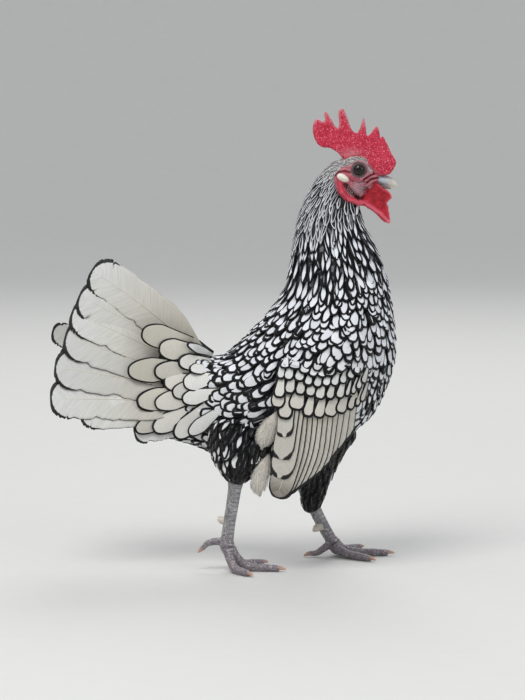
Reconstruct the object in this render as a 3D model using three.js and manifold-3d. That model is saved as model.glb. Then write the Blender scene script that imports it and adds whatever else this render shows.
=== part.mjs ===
// A laced bantam cock, life size, standing in mid stride.
// Millimetres, +X towards the beak, +Y the bird's left side, +Z up, floor at z = 0.
import * as THREE from 'three';
import { mergeVertices } from 'three/addons/utils/BufferGeometryUtils.js';
import Module from 'manifold-3d';

const wasm = await Module();
wasm.setup();

// ---- driving sizes -------------------------------------------------------
const gap = 0.35; // clearance kept between neighbouring pieces
const bodyAround = 20; // facets round the neck and trunk
const bodyAlong = 28; // rings from head to tail root
const headAround = 14;
const headAlong = 12;
const wingAround = 16;
const wingAlong = 15;
const thighAround = 12;
const thighAlong = 9;
const downAround = 8;
const downAlong = 6;
const shankAround = 10;
const shankAlong = 10;
const toeAround = 7;
const toeAlong = 8;
const hornAround = 6; // claws and spurs
const clawAlong = 5;
const spurAlong = 4;
const eyeAround = 11;
const eyeAlong = 7;
const lobeAround = 9;
const lobeAlong = 5;
const upperBeakAround = 10;
const upperBeakAlong = 7;
const lowerBeakAround = 8;
const lowerBeakAlong = 6;
const poleShare = 1e-6; // a station this near either end counts as the end itself
const weldDistance = 1e-3;

// Rings of neck and trunk: back edge and front edge in the XZ plane, half width,
// and how far the widest point sits towards the belly (low).
const bodyRings = [
  { back: [86, 281], front: [86, 281], half: 0, low: 0 },
  { back: [71, 283], front: [98, 266], half: 12.5, low: 0 },
  { back: [61.5, 272], front: [98.5, 257], half: 15.5, low: 0 },
  { back: [53.5, 255], front: [101, 245.5], half: 19, low: 0 },
  { back: [48.8, 236], front: [107, 234], half: 23.5, low: 0 },
  { back: [46.2, 217], front: [114.5, 218], half: 29, low: 0.05 },
  { back: [43, 201.5], front: [119.5, 197], half: 35, low: 0.08 },
  { back: [34.5, 187.5], front: [123, 174], half: 40.5, low: 0.08 },
  { back: [23, 174], front: [124, 153], half: 44.5, low: 0.08 },
  { back: [11, 162], front: [119.5, 133], half: 46, low: 0.06 },
  { back: [1, 153.5], front: [106, 106], half: 45, low: 0.05 },
  { back: [-8.4, 150.7], front: [76, 85], half: 41, low: 0.05 },
  { back: [-15, 152.5], front: [38, 75], half: 35.5, low: 0.08 },
  { back: [-21, 157], front: [5, 73.5], half: 28, low: 0.2 },
  { back: [-30, 165], front: [-19, 84.5], half: 21.5, low: 0.4 },
  { back: [-43, 171], front: [-41, 89.5], half: 18, low: 0.7 },
  { back: [-56, 171], front: [-56, 98], half: 17, low: 0.75 },
  { back: [-66, 157], front: [-66, 112], half: 16, low: 0.6 },
  { back: [-70, 136], front: [-70, 136], half: 0, low: 0.5 },
];

// Rings of the head from nape to beak root: crown, jaw, half width.
const headRings = [
  { back: [66, 273], front: [66, 273], half: 0, low: 0 },
  { back: [69.5, 281.5], front: [68.5, 262], half: 8.5, low: 0 },
  { back: [76, 289.2], front: [76, 257.5], half: 12.2, low: 0 },
  { back: [84.5, 293.6], front: [86, 258], half: 13.6, low: -0.05 },
  { back: [93.5, 294.4], front: [95, 260.2], half: 13.4, low: -0.08 },
  { back: [101.5, 291], front: [101.5, 264.5], half: 10.8, low: -0.05 },
  { back: [107, 284.5], front: [106.5, 269], half: 7, low: 0 },
  { back: [110.5, 280.8], front: [109.5, 272.5], half: 4.6, low: 0 },
  { back: [112, 276.8], front: [112, 276.8], half: 0, low: 0 },
];

const headCut = { through: [64, 262], towards: [97, 251.5] };
const trunkCut = { through: [44, 205], towards: [121, 190] };
const rumpCut = { through: [-21, 160], towards: [-14, 80] };

const eye = { x: 96, z: 284.3, y: 9.7, radius: 4.9 };
const earlobe = { x: 84.8, z: 278.4, y: 13.2, long: 4.6, tall: 2.9, proud: 2.0, tilt: 0.6 };

// Right thigh stands back, left thigh forward; both fade into the belly.
const thighs = {
  right: [
    { at: [20, -17, 110], wide: 0, deep: 0 },
    { at: [16, -22, 100], wide: 15, deep: 24 },
    { at: [12.5, -26, 88.5], wide: 17, deep: 25 },
    { at: [10.5, -29, 78.5], wide: 15.5, deep: 20.5 },
    { at: [9.6, -30, 69.5], wide: 11, deep: 13 },
    { at: [9.2, -30, 63.6], wide: 6.6, deep: 7 },
    { at: [9, -30, 61.4], wide: 0, deep: 0 },
  ],
  left: [
    { at: [72, 17, 108], wide: 0, deep: 0 },
    { at: [75, 22, 94], wide: 15, deep: 21 },
    { at: [73, 26, 80], wide: 15, deep: 15.5 },
    { at: [68.5, 29, 64], wide: 12, deep: 12.6 },
    { at: [64.6, 30, 49], wide: 10, deep: 10.4 },
    { at: [63.8, 30, 39], wide: 8, deep: 8.4 },
    { at: [65, 30, 33.5], wide: 5, deep: 5.4 },
    { at: [65.6, 30, 31.5], wide: 0, deep: 0 },
  ],
};
// Down that hangs between the right thigh and the wing.
const flankDown = [
  { at: [20, -27, 92], wide: 0, deep: 0 },
  { at: [21, -33, 82], wide: 8, deep: 9 },
  { at: [22.6, -36, 68], wide: 7.5, deep: 8.5 },
  { at: [24.6, -36, 58.5], wide: 4.5, deep: 4.8 },
  { at: [25.6, -36, 54.5], wide: 0, deep: 0 },
];
const shanks = {
  right: [
    { at: [9.2, -30, 71], wide: 0, deep: 0 },
    { at: [8.6, -30, 66], wide: 4.3, deep: 5.2 },
    { at: [6.6, -30, 50.5], wide: 4.0, deep: 5.0 },
    { at: [4.2, -30, 35.5], wide: 3.8, deep: 4.6 },
    { at: [2.4, -30, 24], wide: 4.6, deep: 4.8 },
    { at: [2.2, -30, 16.2], wide: 5.4, deep: 4.6 },
    { at: [2.6, -30, 12.2], wide: 0, deep: 0 },
  ],
  left: [
    { at: [58.5, 30, 51], wide: 0, deep: 0 },
    { at: [61, 30, 46], wide: 4.3, deep: 5.4 },
    { at: [66.2, 30, 34], wide: 4.0, deep: 5.0 },
    { at: [73.4, 30, 20], wide: 3.8, deep: 4.6 },
    { at: [79, 30, 9.8], wide: 5.2, deep: 4.8 },
    { at: [82, 30, 5.0], wide: 0, deep: 0 },
  ],
};
const spurs = {
  right: { root: [1.8, -28, 35.4], tip: [-4, -27, 36.6], radius: 2.4 },
  left: { root: [70, 28, 22.5], tip: [64.6, 27, 20.4], radius: 2.2 },
};

const soleHeight = 2.5; // toe axis above the floor once the toe lies on it
const toeRadius = 2.9;
const toeTaper = 0.22; // share of its radius a toe loses towards the claw
const toeEnd = 0.8; // how far the last pad rounds off past the last joint, in radii
const clawLength = 7.5;
const hindClawLength = 5.5;
const clawShape = {
  inset: 0.3, rootRise: 0.5, archRise: 0.3, tipDrop: 2.2, // inset in toe radii, the rest in mm
  rootWide: 0.52, rootDeep: 0.62, middleWide: 0.42, middleDeep: 0.5, // in toe radii
};
// Toe routes: the right foot is up on its toes, the left is planted.
const toes = {
  right: {
    middle: [
      [4.6, -30, 15.4], [10.5, -30.5, 8], [17, -31.5, 3.2], [27, -33, soleHeight], [37, -34.5, soleHeight],
    ],
    inner: [
      [3.6, -27, 15.4], [8.6, -23.6, 7.8], [14, -19, 3.2], [20.5, -13.5, soleHeight], [26, -9, soleHeight],
    ],
    outer: [
      [2.8, -33.4, 15.4], [5.2, -37.2, 8.2], [8, -41.4, 3.2], [12, -47, soleHeight],
      [16.4, -52.6, soleHeight],
    ],
    hind: [[-1, -28.6, 20.8], [-6, -27.8, 20.6], [-11.4, -27.2, 19.2], [-14.4, -26.8, 16]],
  },
  left: {
    middle: [
      [82.5, 30, 7.4], [89, 30, 4.4], [98, 30.4, soleHeight], [108, 31, soleHeight], [117, 31.6, soleHeight],
    ],
    inner: [
      [81, 26.6, 7.2], [86.4, 22.4, 4.2], [92.6, 17.4, soleHeight], [98.6, 12.4, soleHeight],
      [104, 8, soleHeight],
    ],
    outer: [
      [80.6, 33.4, 7.2], [84.8, 38.6, 4.2], [89.6, 44.6, soleHeight], [94.4, 50.6, soleHeight],
      [98.6, 56, soleHeight],
    ],
    hind: [[76, 28.8, 8.6], [72, 27.8, 5.4], [67.6, 27, soleHeight], [63, 26.2, soleHeight]],
  },
};
const hindRadius = 2.3;

// Folded wing: stations down its length. Centre, half chord, outer face and how far the
// leading and trailing edges curl in towards the body; thickness at the middle of the chord.
const wingRings = [
  { at: [96, 191], lead: 0, trail: 0, out: 38, curlLead: 0, curlTrail: 0, thick: 0 },
  { at: [92, 181], lead: 13, trail: 15, out: 45, curlLead: 5, curlTrail: 3, thick: 5 },
  { at: [80.5, 153], lead: 29, trail: 30, out: 53, curlLead: 18, curlTrail: 6, thick: 8 },
  { at: [66.5, 120], lead: 36, trail: 30, out: 53, curlLead: 19, curlTrail: 5, thick: 7.5 },
  { at: [52.2, 87], lead: 28, trail: 18.5, out: 51, curlLead: 10, curlTrail: 4, thick: 5.5 },
  { at: [44, 67.5], lead: 17, trail: 12.5, out: 48, curlLead: 4, curlTrail: 2, thick: 4 },
  { at: [40.2, 57], lead: 8.5, trail: 7.5, out: 46, curlLead: 1, curlTrail: 1, thick: 2.6 },
  { at: [38.4, 51], lead: 0, trail: 0, out: 45, curlLead: 0, curlTrail: 0, thick: 0 },
];
const wingEdgeThickness = 0.9;
const wingDown = new THREE.Vector3(-0.396, 0, -0.918); // along the folded wing, shoulder to tip
const wingForward = new THREE.Vector3(0.918, 0, -0.396); // across it, towards the leading edge
const wingEdgeDrop = 2; // how far both edges sag below the middle
const quillCut = { through: [34, 112], towards: [108, 118] };
const primaryCut = { through: [35, 48], towards: [99, 121] };

// Tail quills of one side from the top pair down: rise of the shaft, length, half width.
const tailQuills = [
  { rise: 43.3, length: 107, half: 12 },
  { rise: 32.8, length: 108, half: 12.5 },
  { rise: 25.6, length: 107.5, half: 12.5 },
  { rise: 18.4, length: 110, half: 12.5 },
  { rise: 10.6, length: 109, half: 12.5 },
  { rise: 3.6, length: 109, half: 12.5 },
  { rise: -1, length: 88, half: 9.5 },
  { rise: -12, length: 52, half: 8 },
];
const tailRoot = { x: -12, top: 146, bottom: 107 };
// The two fans stand like a ridged roof: half spread at the ridge and at the eaves.
const tailSpread = { ridgeOut: 2.4, eavesOut: 9, ridgeSplay: 1.5, eavesSplay: 15 };
const fanThickness = 2.6;
// A vane is narrow at its root, swells by stages, and is full width from fullAt of its length.
const vane = { rootHalf: 2, swellAt: 0.2, swell: 0.4, fullAt: 0.42, tipFacets: 4 };

// Comb outline, from the front lower corner back over the points to the nape.
const combOutline = [
  [102, 286], [107.3, 282.8], [116.2, 280.8], [121.2, 283], [122.9, 288.5], [121.2, 295], [118.6, 299.5],
  [114.4, 308.4], [111.6, 306.8], [109.4, 315], [103.4, 308.6], [100.1, 321.6], [95.2, 311.6], [91, 314.5],
  [86.2, 328.2], [82.8, 326.6], [81.8, 314.4], [76.6, 320.4], [72.7, 326], [71.2, 318.8], [66.8, 320.9],
  [63.3, 316.4], [63.8, 308], [67.6, 302], [73, 300], [79, 297.4], [84, 292],
];
const combBase = { z: 290, half: 6 };
const combTip = { z: 326, half: 1.7 };
const combTaper = 0.75;

// Wattle outline in side view, root first.
const wattleOutline = [
  [103, 272.2], [109, 269.6], [113.5, 268.8], [117, 267.6], [120.2, 264], [117.6, 260.2], [118.9, 253.4],
  [118.6, 246.6], [115.5, 247.4], [108.5, 252.6], [101, 258.2], [96.6, 261.2], [97.6, 267],
];
const wattle = { y: 5.6, thick: 1.3, splay: 0.16 };
const plateEdge = { run: 0.6, rise: 0.5 }; // chamfer of comb and wattles: inward, and share of the depth

const upperBeak = [
  { at: [106, 0, 278.8], wide: 5.2, deep: 2.9 },
  { at: [110, 0, 278.5], wide: 4.5, deep: 2.9 },
  { at: [114, 0, 278], wide: 3.7, deep: 2.9 },
  { at: [118, 0, 276.5], wide: 2.8, deep: 2.9 },
  { at: [121.2, 0, 274.7], wide: 1.8, deep: 2.1 },
  { at: [123.2, 0, 272.2], wide: 0, deep: 0 },
];
const lowerBeak = [
  { at: [105, 0, 273.4], wide: 4.4, deep: 1.9 },
  { at: [109, 0, 273], wide: 3.8, deep: 1.9 },
  { at: [113, 0, 272.2], wide: 3.0, deep: 1.7 },
  { at: [116.8, 0, 271], wide: 2.0, deep: 1.1 },
  { at: [119.4, 0, 270.2], wide: 0, deep: 0 },
];

// ---- materials -----------------------------------------------------------
const finishes = {
  laced: { color: 0xb9b8b2, roughness: 0.7, metalness: 0 },
  quill: { color: 0xd8d2c4, roughness: 0.6, metalness: 0 },
  dark: { color: 0x1b1a1c, roughness: 0.7, metalness: 0 },
  face: { color: 0xa63a45, roughness: 0.6, metalness: 0 },
  comb: { color: 0xc8213b, roughness: 0.55, metalness: 0 },
  lobe: { color: 0xd9d6c8, roughness: 0.6, metalness: 0 },
  eye: { color: 0x2a1712, roughness: 0.08, metalness: 0 },
  horn: { color: 0xb9b3a6, roughness: 0.35, metalness: 0 },
  scale: { color: 0x77757f, roughness: 0.5, metalness: 0 },
};

function finish(name) {
  return new THREE.MeshStandardMaterial(finishes[name]);
}

// ---- shape tools ---------------------------------------------------------
function toSolid(geometry) {
  const bare = geometry.clone();
  bare.deleteAttribute('normal');
  bare.deleteAttribute('uv');
  const merged = mergeVertices(bare, weldDistance);
  const triangles = new Uint32Array(merged.index.array);
  const corners = new Float32Array(merged.attributes.position.array);
  if (signedVolume(corners, triangles) < 0) {
    for (let i = 0; i < triangles.length; i += 3) {
      [triangles[i], triangles[i + 1]] = [triangles[i + 1], triangles[i]];
    }
  }
  return new wasm.Manifold(new wasm.Mesh({ numProp: 3, vertProperties: corners, triVerts: triangles }));
}

function signedVolume(corners, triangles) {
  const [a, b, c] = [new THREE.Vector3(), new THREE.Vector3(), new THREE.Vector3()];
  let total = 0;
  for (let i = 0; i < triangles.length; i += 3) {
    a.fromArray(corners, triangles[i] * 3);
    b.fromArray(corners, triangles[i + 1] * 3);
    c.fromArray(corners, triangles[i + 2] * 3);
    total += a.dot(b.clone().cross(c));
  }
  return total;
}

function toMesh(name, solid, material) {
  const whole = largestPiece(solid);
  const { vertProperties, triVerts, numProp } = whole.getMesh();
  const points = [];
  for (let i = 0; i < vertProperties.length; i += numProp) {
    points.push(vertProperties[i], vertProperties[i + 1], vertProperties[i + 2]);
  }
  const geometry = new THREE.BufferGeometry();
  geometry.setAttribute('position', new THREE.Float32BufferAttribute(points, 3));
  geometry.setIndex(Array.from(triVerts));
  geometry.computeVertexNormals();
  const mesh = new THREE.Mesh(geometry, material);
  mesh.name = name;
  return mesh;
}

// Cuts may shave off a sliver: only the main body is kept.
function largestPiece(solid) {
  const pieces = solid.decompose();
  return pieces.reduce((best, piece) => (piece.volume() > best.volume() ? piece : best));
}

// A unit sphere whose grid is moved by shape(around, along), both 0 to 1.
function mappedSphere(around, along, shape) {
  const geometry = new THREE.SphereGeometry(1, around, along);
  const { position, uv } = geometry.attributes;
  for (let i = 0; i < position.count; i += 1) {
    const spot = shape(uv.getX(i), 1 - uv.getY(i));
    position.setXYZ(i, spot.x, spot.y, spot.z);
  }
  return toSolid(geometry);
}

function isPole(share) {
  return share < poleShare || share > 1 - poleShare;
}

function splineOf(rows) {
  return new THREE.CatmullRomCurve3(rows.map((row) => new THREE.Vector3(...row)), false, 'catmullrom', 0.5);
}

// A body lofted through rings that stand across the XZ plane.
function ringLoft(rings, around, along, margin) {
  const backs = splineOf(rings.map((ring) => [ring.back[0], 0, ring.back[1]]));
  const fronts = splineOf(rings.map((ring) => [ring.front[0], 0, ring.front[1]]));
  const widths = splineOf(rings.map((ring) => [ring.half, ring.low, 0]));
  return mappedSphere(around, along, (u, v) => {
    const back = backs.getPoint(v);
    const front = fronts.getPoint(v);
    const size = widths.getPoint(v);
    const middle = back.clone().add(front).multiplyScalar(0.5);
    const half = back.clone().sub(front).multiplyScalar(0.5);
    if (isPole(v)) {
      return middle;
    }
    half.setLength(half.length() + margin);
    const angle = u * Math.PI * 2;
    const lean = 1 - size.y * Math.cos(angle);
    const side = (Math.max(size.x, 0) + margin) * Math.sin(angle) * lean;
    return middle.add(half.multiplyScalar(Math.cos(angle))).add(new THREE.Vector3(0, side, 0));
  });
}

// A limb lofted along a route: wide is across the side direction, deep is across the other.
function limb(rows, side, around, along, margin = 0) {
  const route = splineOf(rows.map((row) => row.at));
  const sizes = splineOf(rows.map((row) => [row.wide, row.deep, 0]));
  const startsFlat = rows[0].wide > 0;
  return mappedSphere(around, along, (u, v) => {
    const spot = route.getPoint(v);
    const size = sizes.getPoint(v);
    if (isPole(v)) {
      return spot;
    }
    const rounded = startsFlat ? Math.min(1, Math.sqrt(v * along)) : 1;
    const heading = route.getTangent(v);
    const across = side.clone().addScaledVector(heading, -side.dot(heading)).normalize();
    const up = across.clone().cross(heading);
    const angle = u * Math.PI * 2;
    spot.addScaledVector(across, (Math.max(size.x, 0) * rounded + margin) * Math.cos(angle));
    spot.addScaledVector(up, (Math.max(size.y, 0) * rounded + margin) * Math.sin(angle));
    return spot;
  });
}

// An outline in side view (x, z), given a thickness that may vary over it.
function plate(outline, depth, place) {
  const shape = new THREE.Shape(outline.map(([x, z]) => new THREE.Vector2(x, z)));
  const geometry = new THREE.ExtrudeGeometry(shape, {
    depth: 1, steps: 1, bevelEnabled: true, bevelSegments: 1,
    bevelThickness: plateEdge.rise, bevelSize: plateEdge.run, bevelOffset: -plateEdge.run,
  });
  const { position } = geometry.attributes;
  for (let i = 0; i < position.count; i += 1) {
    const across = (position.getZ(i) - 0.5) * depth;
    const spot = place(position.getX(i), across, position.getY(i));
    position.setXYZ(i, spot.x, spot.y, spot.z);
  }
  return toSolid(geometry);
}

// A plane that holds the Y direction and passes through two points of the XZ plane.
function sidePlane({ through, towards }) {
  const run = new THREE.Vector3(towards[0] - through[0], 0, towards[1] - through[1]).normalize();
  const normal = new THREE.Vector3(-run.z, 0, run.x);
  const offset = normal.dot(new THREE.Vector3(through[0], 0, through[1]));
  return { normal: normal.toArray(), opposite: normal.clone().negate().toArray(), offset };
}

// The part of a solid above such a plane, or below it, clear of it by half the gap.
function above(solid, cut) {
  const plane = sidePlane(cut);
  return solid.trimByPlane(plane.normal, plane.offset + gap / 2);
}

function below(solid, cut) {
  const plane = sidePlane(cut);
  return solid.trimByPlane(plane.opposite, -plane.offset + gap / 2);
}

const sides = { right: -1, left: 1 };
const lateral = new THREE.Vector3(0, 1, 0);
const upright = new THREE.Vector3(0, 0, 1);

// ---- trunk, neck, head ---------------------------------------------------
function bodyLoft(margin) {
  return ringLoft(bodyRings, bodyAround, bodyAlong, margin);
}

function headLoft(margin) {
  return ringLoft(headRings, headAround, headAlong, margin);
}

function eyeBall(side, margin) {
  return mappedSphere(eyeAround, eyeAlong, (u, v) => {
    const radius = eye.radius + margin;
    const polar = v * Math.PI;
    const turn = u * Math.PI * 2;
    return new THREE.Vector3(
      eye.x + radius * Math.sin(polar) * Math.cos(turn),
      sides[side] * (eye.y + radius * Math.cos(polar)),
      eye.z + radius * Math.sin(polar) * Math.sin(turn),
    );
  });
}

function lobe(side) {
  return mappedSphere(lobeAround, lobeAlong, (u, v) => {
    const polar = v * Math.PI;
    const turn = u * Math.PI * 2;
    const along = earlobe.long * Math.sin(polar) * Math.cos(turn);
    const rise = earlobe.tall * Math.sin(polar) * Math.sin(turn);
    return new THREE.Vector3(
      earlobe.x + along * Math.cos(earlobe.tilt) + rise * Math.sin(earlobe.tilt),
      sides[side] * (earlobe.y + earlobe.proud * Math.cos(polar)),
      earlobe.z - along * Math.sin(earlobe.tilt) + rise * Math.cos(earlobe.tilt),
    );
  });
}

function combPlate() {
  return plate(combOutline, 1, (x, across, z) => {
    const height = THREE.MathUtils.clamp((z - combBase.z) / (combTip.z - combBase.z), 0, 1);
    const half = THREE.MathUtils.lerp(combBase.half, combTip.half, height ** combTaper);
    return new THREE.Vector3(x, across * half, z);
  });
}

function wattlePlate(side) {
  const root = wattleOutline[0][1];
  return plate(wattleOutline, wattle.thick, (x, across, z) => {
    const drop = root - z;
    const out = wattle.y + wattle.splay * drop + across;
    return new THREE.Vector3(x, sides[side] * out, z);
  });
}

// ---- wings ---------------------------------------------------------------
function wingSolid(side) {
  const centres = splineOf(wingRings.map((ring) => [ring.at[0], 0, ring.at[1]]));
  const chords = splineOf(wingRings.map((ring) => [ring.lead, ring.trail, ring.thick]));
  const curls = splineOf(wingRings.map((ring) => [ring.out, ring.curlLead, ring.curlTrail]));
  return mappedSphere(wingAround, wingAlong, (u, v) => {
    const spot = centres.getPoint(v);
    const chord = chords.getPoint(v);
    const curl = curls.getPoint(v);
    const angle = u * Math.PI * 2;
    const lean = Math.cos(angle);
    const reach = lean > 0 ? Math.max(chord.x, 0) : Math.max(chord.y, 0);
    const inward = (lean > 0 ? curl.y : curl.z) * lean * lean;
    const thickness = isPole(v) ? 0 : Math.max(chord.z, wingEdgeThickness);
    const depth = thickness * 0.5 * (1 - Math.sin(angle));
    spot.addScaledVector(wingForward, reach * lean);
    spot.addScaledVector(wingDown, isPole(v) ? 0 : wingEdgeDrop * lean * lean);
    spot.y = sides[side] * (curl.x - inward - depth);
    return spot;
  });
}

// ---- tail ----------------------------------------------------------------
function bladeOutline(length, half) {
  const outline = new THREE.Shape();
  outline.moveTo(0, -vane.rootHalf);
  outline.quadraticCurveTo(length * vane.swellAt, -half * vane.swell, length * vane.fullAt, -half);
  outline.lineTo(length - half, -half);
  outline.absarc(length - half, 0, half, -Math.PI / 2, Math.PI / 2, false);
  outline.lineTo(length * vane.fullAt, half);
  outline.quadraticCurveTo(length * vane.swellAt, half * vane.swell, 0, vane.rootHalf);
  outline.closePath();
  return outline;
}

// One quill's vane, flat in the XZ plane.
function tailBlade(quill, index) {
  const share = index / (tailQuills.length - 1);
  const rise = THREE.MathUtils.degToRad(quill.rise);
  const along = new THREE.Vector3(-Math.cos(rise), 0, Math.sin(rise));
  const across = new THREE.Vector3(Math.sin(rise), 0, Math.cos(rise));
  const root = new THREE.Vector3(tailRoot.x, 0, THREE.MathUtils.lerp(tailRoot.top, tailRoot.bottom, share));
  const geometry = new THREE.ExtrudeGeometry(bladeOutline(quill.length, quill.half), {
    depth: fanThickness, bevelEnabled: false, curveSegments: vane.tipFacets,
  });
  geometry.translate(0, 0, -fanThickness / 2);
  geometry.applyMatrix4(new THREE.Matrix4().makeBasis(along, across, lateral).setPosition(root));
  return toSolid(geometry);
}

// All the vanes of one side joined, then splayed out from the ridge to the eaves.
function tailFan(side) {
  const flat = tailQuills.map(tailBlade).reduce((fan, blade) => fan.add(blade));
  const middle = (tailRoot.top + tailRoot.bottom) / 2;
  const highest = THREE.MathUtils.degToRad(tailQuills[0].rise);
  const lowest = THREE.MathUtils.degToRad(tailQuills.at(-1).rise);
  return flat.warp((spot) => {
    const reach = Math.hypot(spot[0] - tailRoot.x, spot[2] - middle);
    const rise = Math.atan2(spot[2] - middle, tailRoot.x - spot[0]);
    const low = THREE.MathUtils.clamp((highest - rise) / (highest - lowest), 0, 1);
    const splay = THREE.MathUtils.lerp(tailSpread.ridgeSplay, tailSpread.eavesSplay, low);
    const out = THREE.MathUtils.lerp(tailSpread.ridgeOut, tailSpread.eavesOut, low);
    spot[1] += sides[side] * (out + reach * Math.sin(THREE.MathUtils.degToRad(splay)));
  });
}

// ---- legs ----------------------------------------------------------------
function thighSolid(side) {
  const thigh = limb(thighs[side], lateral, thighAround, thighAlong);
  return side === 'right' ? thigh.add(limb(flankDown, lateral, downAround, downAlong)) : thigh;
}

function shankSolid(side, margin) {
  return limb(shanks[side], lateral, shankAround, shankAlong, margin);
}

function spurSolid(side) {
  const { root, tip, radius } = spurs[side];
  const middle = root.map((value, axis) => (value + tip[axis]) / 2);
  const rows = [
    { at: root, wide: radius, deep: radius },
    { at: middle, wide: radius, deep: radius },
    { at: tip, wide: 0, deep: 0 },
  ];
  return limb(rows, lateral, hornAround, spurAlong);
}

function toeRows(route, radius) {
  const last = route.length - 1;
  return route.map((at, step) => {
    const size = radius * (1 - toeTaper * (step / last));
    return { at, wide: size, deep: size };
  });
}

function toeSide(route) {
  const run = new THREE.Vector3(route.at(-1)[0] - route[0][0], route.at(-1)[1] - route[0][1], 0);
  return upright.clone().cross(run).normalize();
}

function toeSolid(route, radius) {
  const end = new THREE.Vector3(...route.at(-1));
  const before = new THREE.Vector3(...route.at(-2));
  const beyond = end.clone().addScaledVector(end.clone().sub(before).normalize(), radius * toeEnd);
  const rows = [...toeRows(route, radius), { at: beyond.toArray(), wide: 0, deep: 0 }];
  return limb(rows, toeSide(route), toeAround, toeAlong).trimByPlane([0, 0, 1], 0);
}

function clawSolid(route, radius, length) {
  const end = new THREE.Vector3(...route.at(-1));
  const heading = end.clone().sub(new THREE.Vector3(...route.at(-2))).normalize();
  const shape = clawShape;
  const start = end.clone().addScaledVector(heading, radius * shape.inset);
  start.addScaledVector(upright, shape.rootRise);
  const middle = start.clone().addScaledVector(heading, length / 2).addScaledVector(upright, shape.archRise);
  const tip = start.clone().addScaledVector(heading, length).addScaledVector(upright, -shape.tipDrop);
  const rows = [
    { at: start.toArray(), wide: radius * shape.rootWide, deep: radius * shape.rootDeep },
    { at: middle.toArray(), wide: radius * shape.middleWide, deep: radius * shape.middleDeep },
    { at: tip.toArray(), wide: 0, deep: 0 },
  ];
  return limb(rows, toeSide(route), hornAround, clawAlong).trimByPlane([0, 0, 1], 0);
}

function legPieces(side) {
  const pieces = [];
  let taken = shankSolid(side, gap);
  Object.entries(toes[side]).forEach(([name, route]) => {
    const isHind = name === 'hind';
    const radius = isHind ? hindRadius : toeRadius;
    const socket = toeSolid(route, radius + gap);
    const toe = toeSolid(route, radius).subtract(taken);
    const claw = clawSolid(route, radius, isHind ? hindClawLength : clawLength).subtract(socket);
    pieces.push(toMesh(`toe_${name}_${side}`, toe, finish('scale')));
    pieces.push(toMesh(`claw_${name}_${side}`, claw, finish('horn')));
    taken = taken.add(socket);
  });
  return pieces;
}

// ---- assembly ------------------------------------------------------------
const bird = new THREE.Group();

const loft = bodyLoft(0);
const looseLoft = bodyLoft(gap);
const headWhole = above(headLoft(0).add(loft), headCut);
const headMargin = headLoft(gap);
const neckWhole = above(below(loft, headCut), trunkCut);
const trunkWhole = above(below(loft, trunkCut), rumpCut);
const rumpWhole = below(loft, rumpCut);

const beakTop = limb(upperBeak, lateral, upperBeakAround, upperBeakAlong);
const beakTopMargin = limb(upperBeak, lateral, upperBeakAround, upperBeakAlong, gap);
const beakBottom = limb(lowerBeak, lateral, lowerBeakAround, lowerBeakAlong);
const beakBottomMargin = limb(lowerBeak, lateral, lowerBeakAround, lowerBeakAlong, gap);

const headCore = headWhole
  .subtract(beakTopMargin)
  .subtract(beakBottomMargin)
  .subtract(eyeBall('right', gap))
  .subtract(eyeBall('left', gap));
bird.add(toMesh('head', headCore, finish('face')));
bird.add(toMesh('beak_upper', beakTop, finish('horn')));
bird.add(toMesh('beak_lower', beakBottom.subtract(beakTopMargin), finish('horn')));
bird.add(toMesh('comb', combPlate().subtract(headMargin).subtract(beakTopMargin), finish('comb')));
bird.add(toMesh('neck', neckWhole, finish('laced')));

Object.keys(sides).forEach((side) => {
  const wattleSolid = wattlePlate(side)
    .subtract(headMargin)
    .subtract(looseLoft)
    .subtract(beakTopMargin)
    .subtract(beakBottomMargin);
  bird.add(toMesh(`wattle_${side}`, wattleSolid, finish('comb')));
  bird.add(toMesh(`eye_${side}`, eyeBall(side, 0), finish('eye')));
  bird.add(toMesh(`earlobe_${side}`, lobe(side).subtract(headMargin), finish('lobe')));

  const wing = wingSolid(side).subtract(looseLoft);
  const quills = below(wing, quillCut);
  bird.add(toMesh(`wing_coverts_${side}`, above(wing, quillCut), finish('laced')));
  bird.add(toMesh(`wing_secondaries_${side}`, above(quills, primaryCut), finish('quill')));
  bird.add(toMesh(`wing_primaries_${side}`, below(quills, primaryCut), finish('quill')));

  const shank = shankSolid(side, 0);
  const shankMargin = shankSolid(side, gap);
  const thigh = thighSolid(side).subtract(looseLoft).subtract(shankMargin).subtract(wing);
  bird.add(toMesh(`thigh_${side}`, thigh, finish('dark')));
  bird.add(toMesh(`shank_${side}`, shank, finish('scale')));
  bird.add(toMesh(`spur_${side}`, spurSolid(side).subtract(shankMargin), finish('horn')));
  legPieces(side).forEach((piece) => bird.add(piece));
});

bird.add(toMesh('trunk', trunkWhole, finish('laced')));
bird.add(toMesh('tail_base', rumpWhole, finish('laced')));
const fans = Object.keys(sides).map((side) => tailFan(side).subtract(looseLoft));
bird.add(toMesh('tail_right', fans[0], finish('quill')));
bird.add(toMesh('tail_left', fans[1], finish('quill')));

// The origin goes to the middle of the bird's box, on the floor.
const box = new THREE.Box3().setFromObject(bird);
const middle = box.getCenter(new THREE.Vector3());
bird.position.set(-middle.x, -middle.y, -box.min.z);
bird.updateMatrixWorld(true);

export default bird;
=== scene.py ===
import math
import bpy
import numpy as np
import openvdb
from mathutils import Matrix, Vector, kdtree, noise
from mathutils.bvhtree import BVHTree


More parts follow.
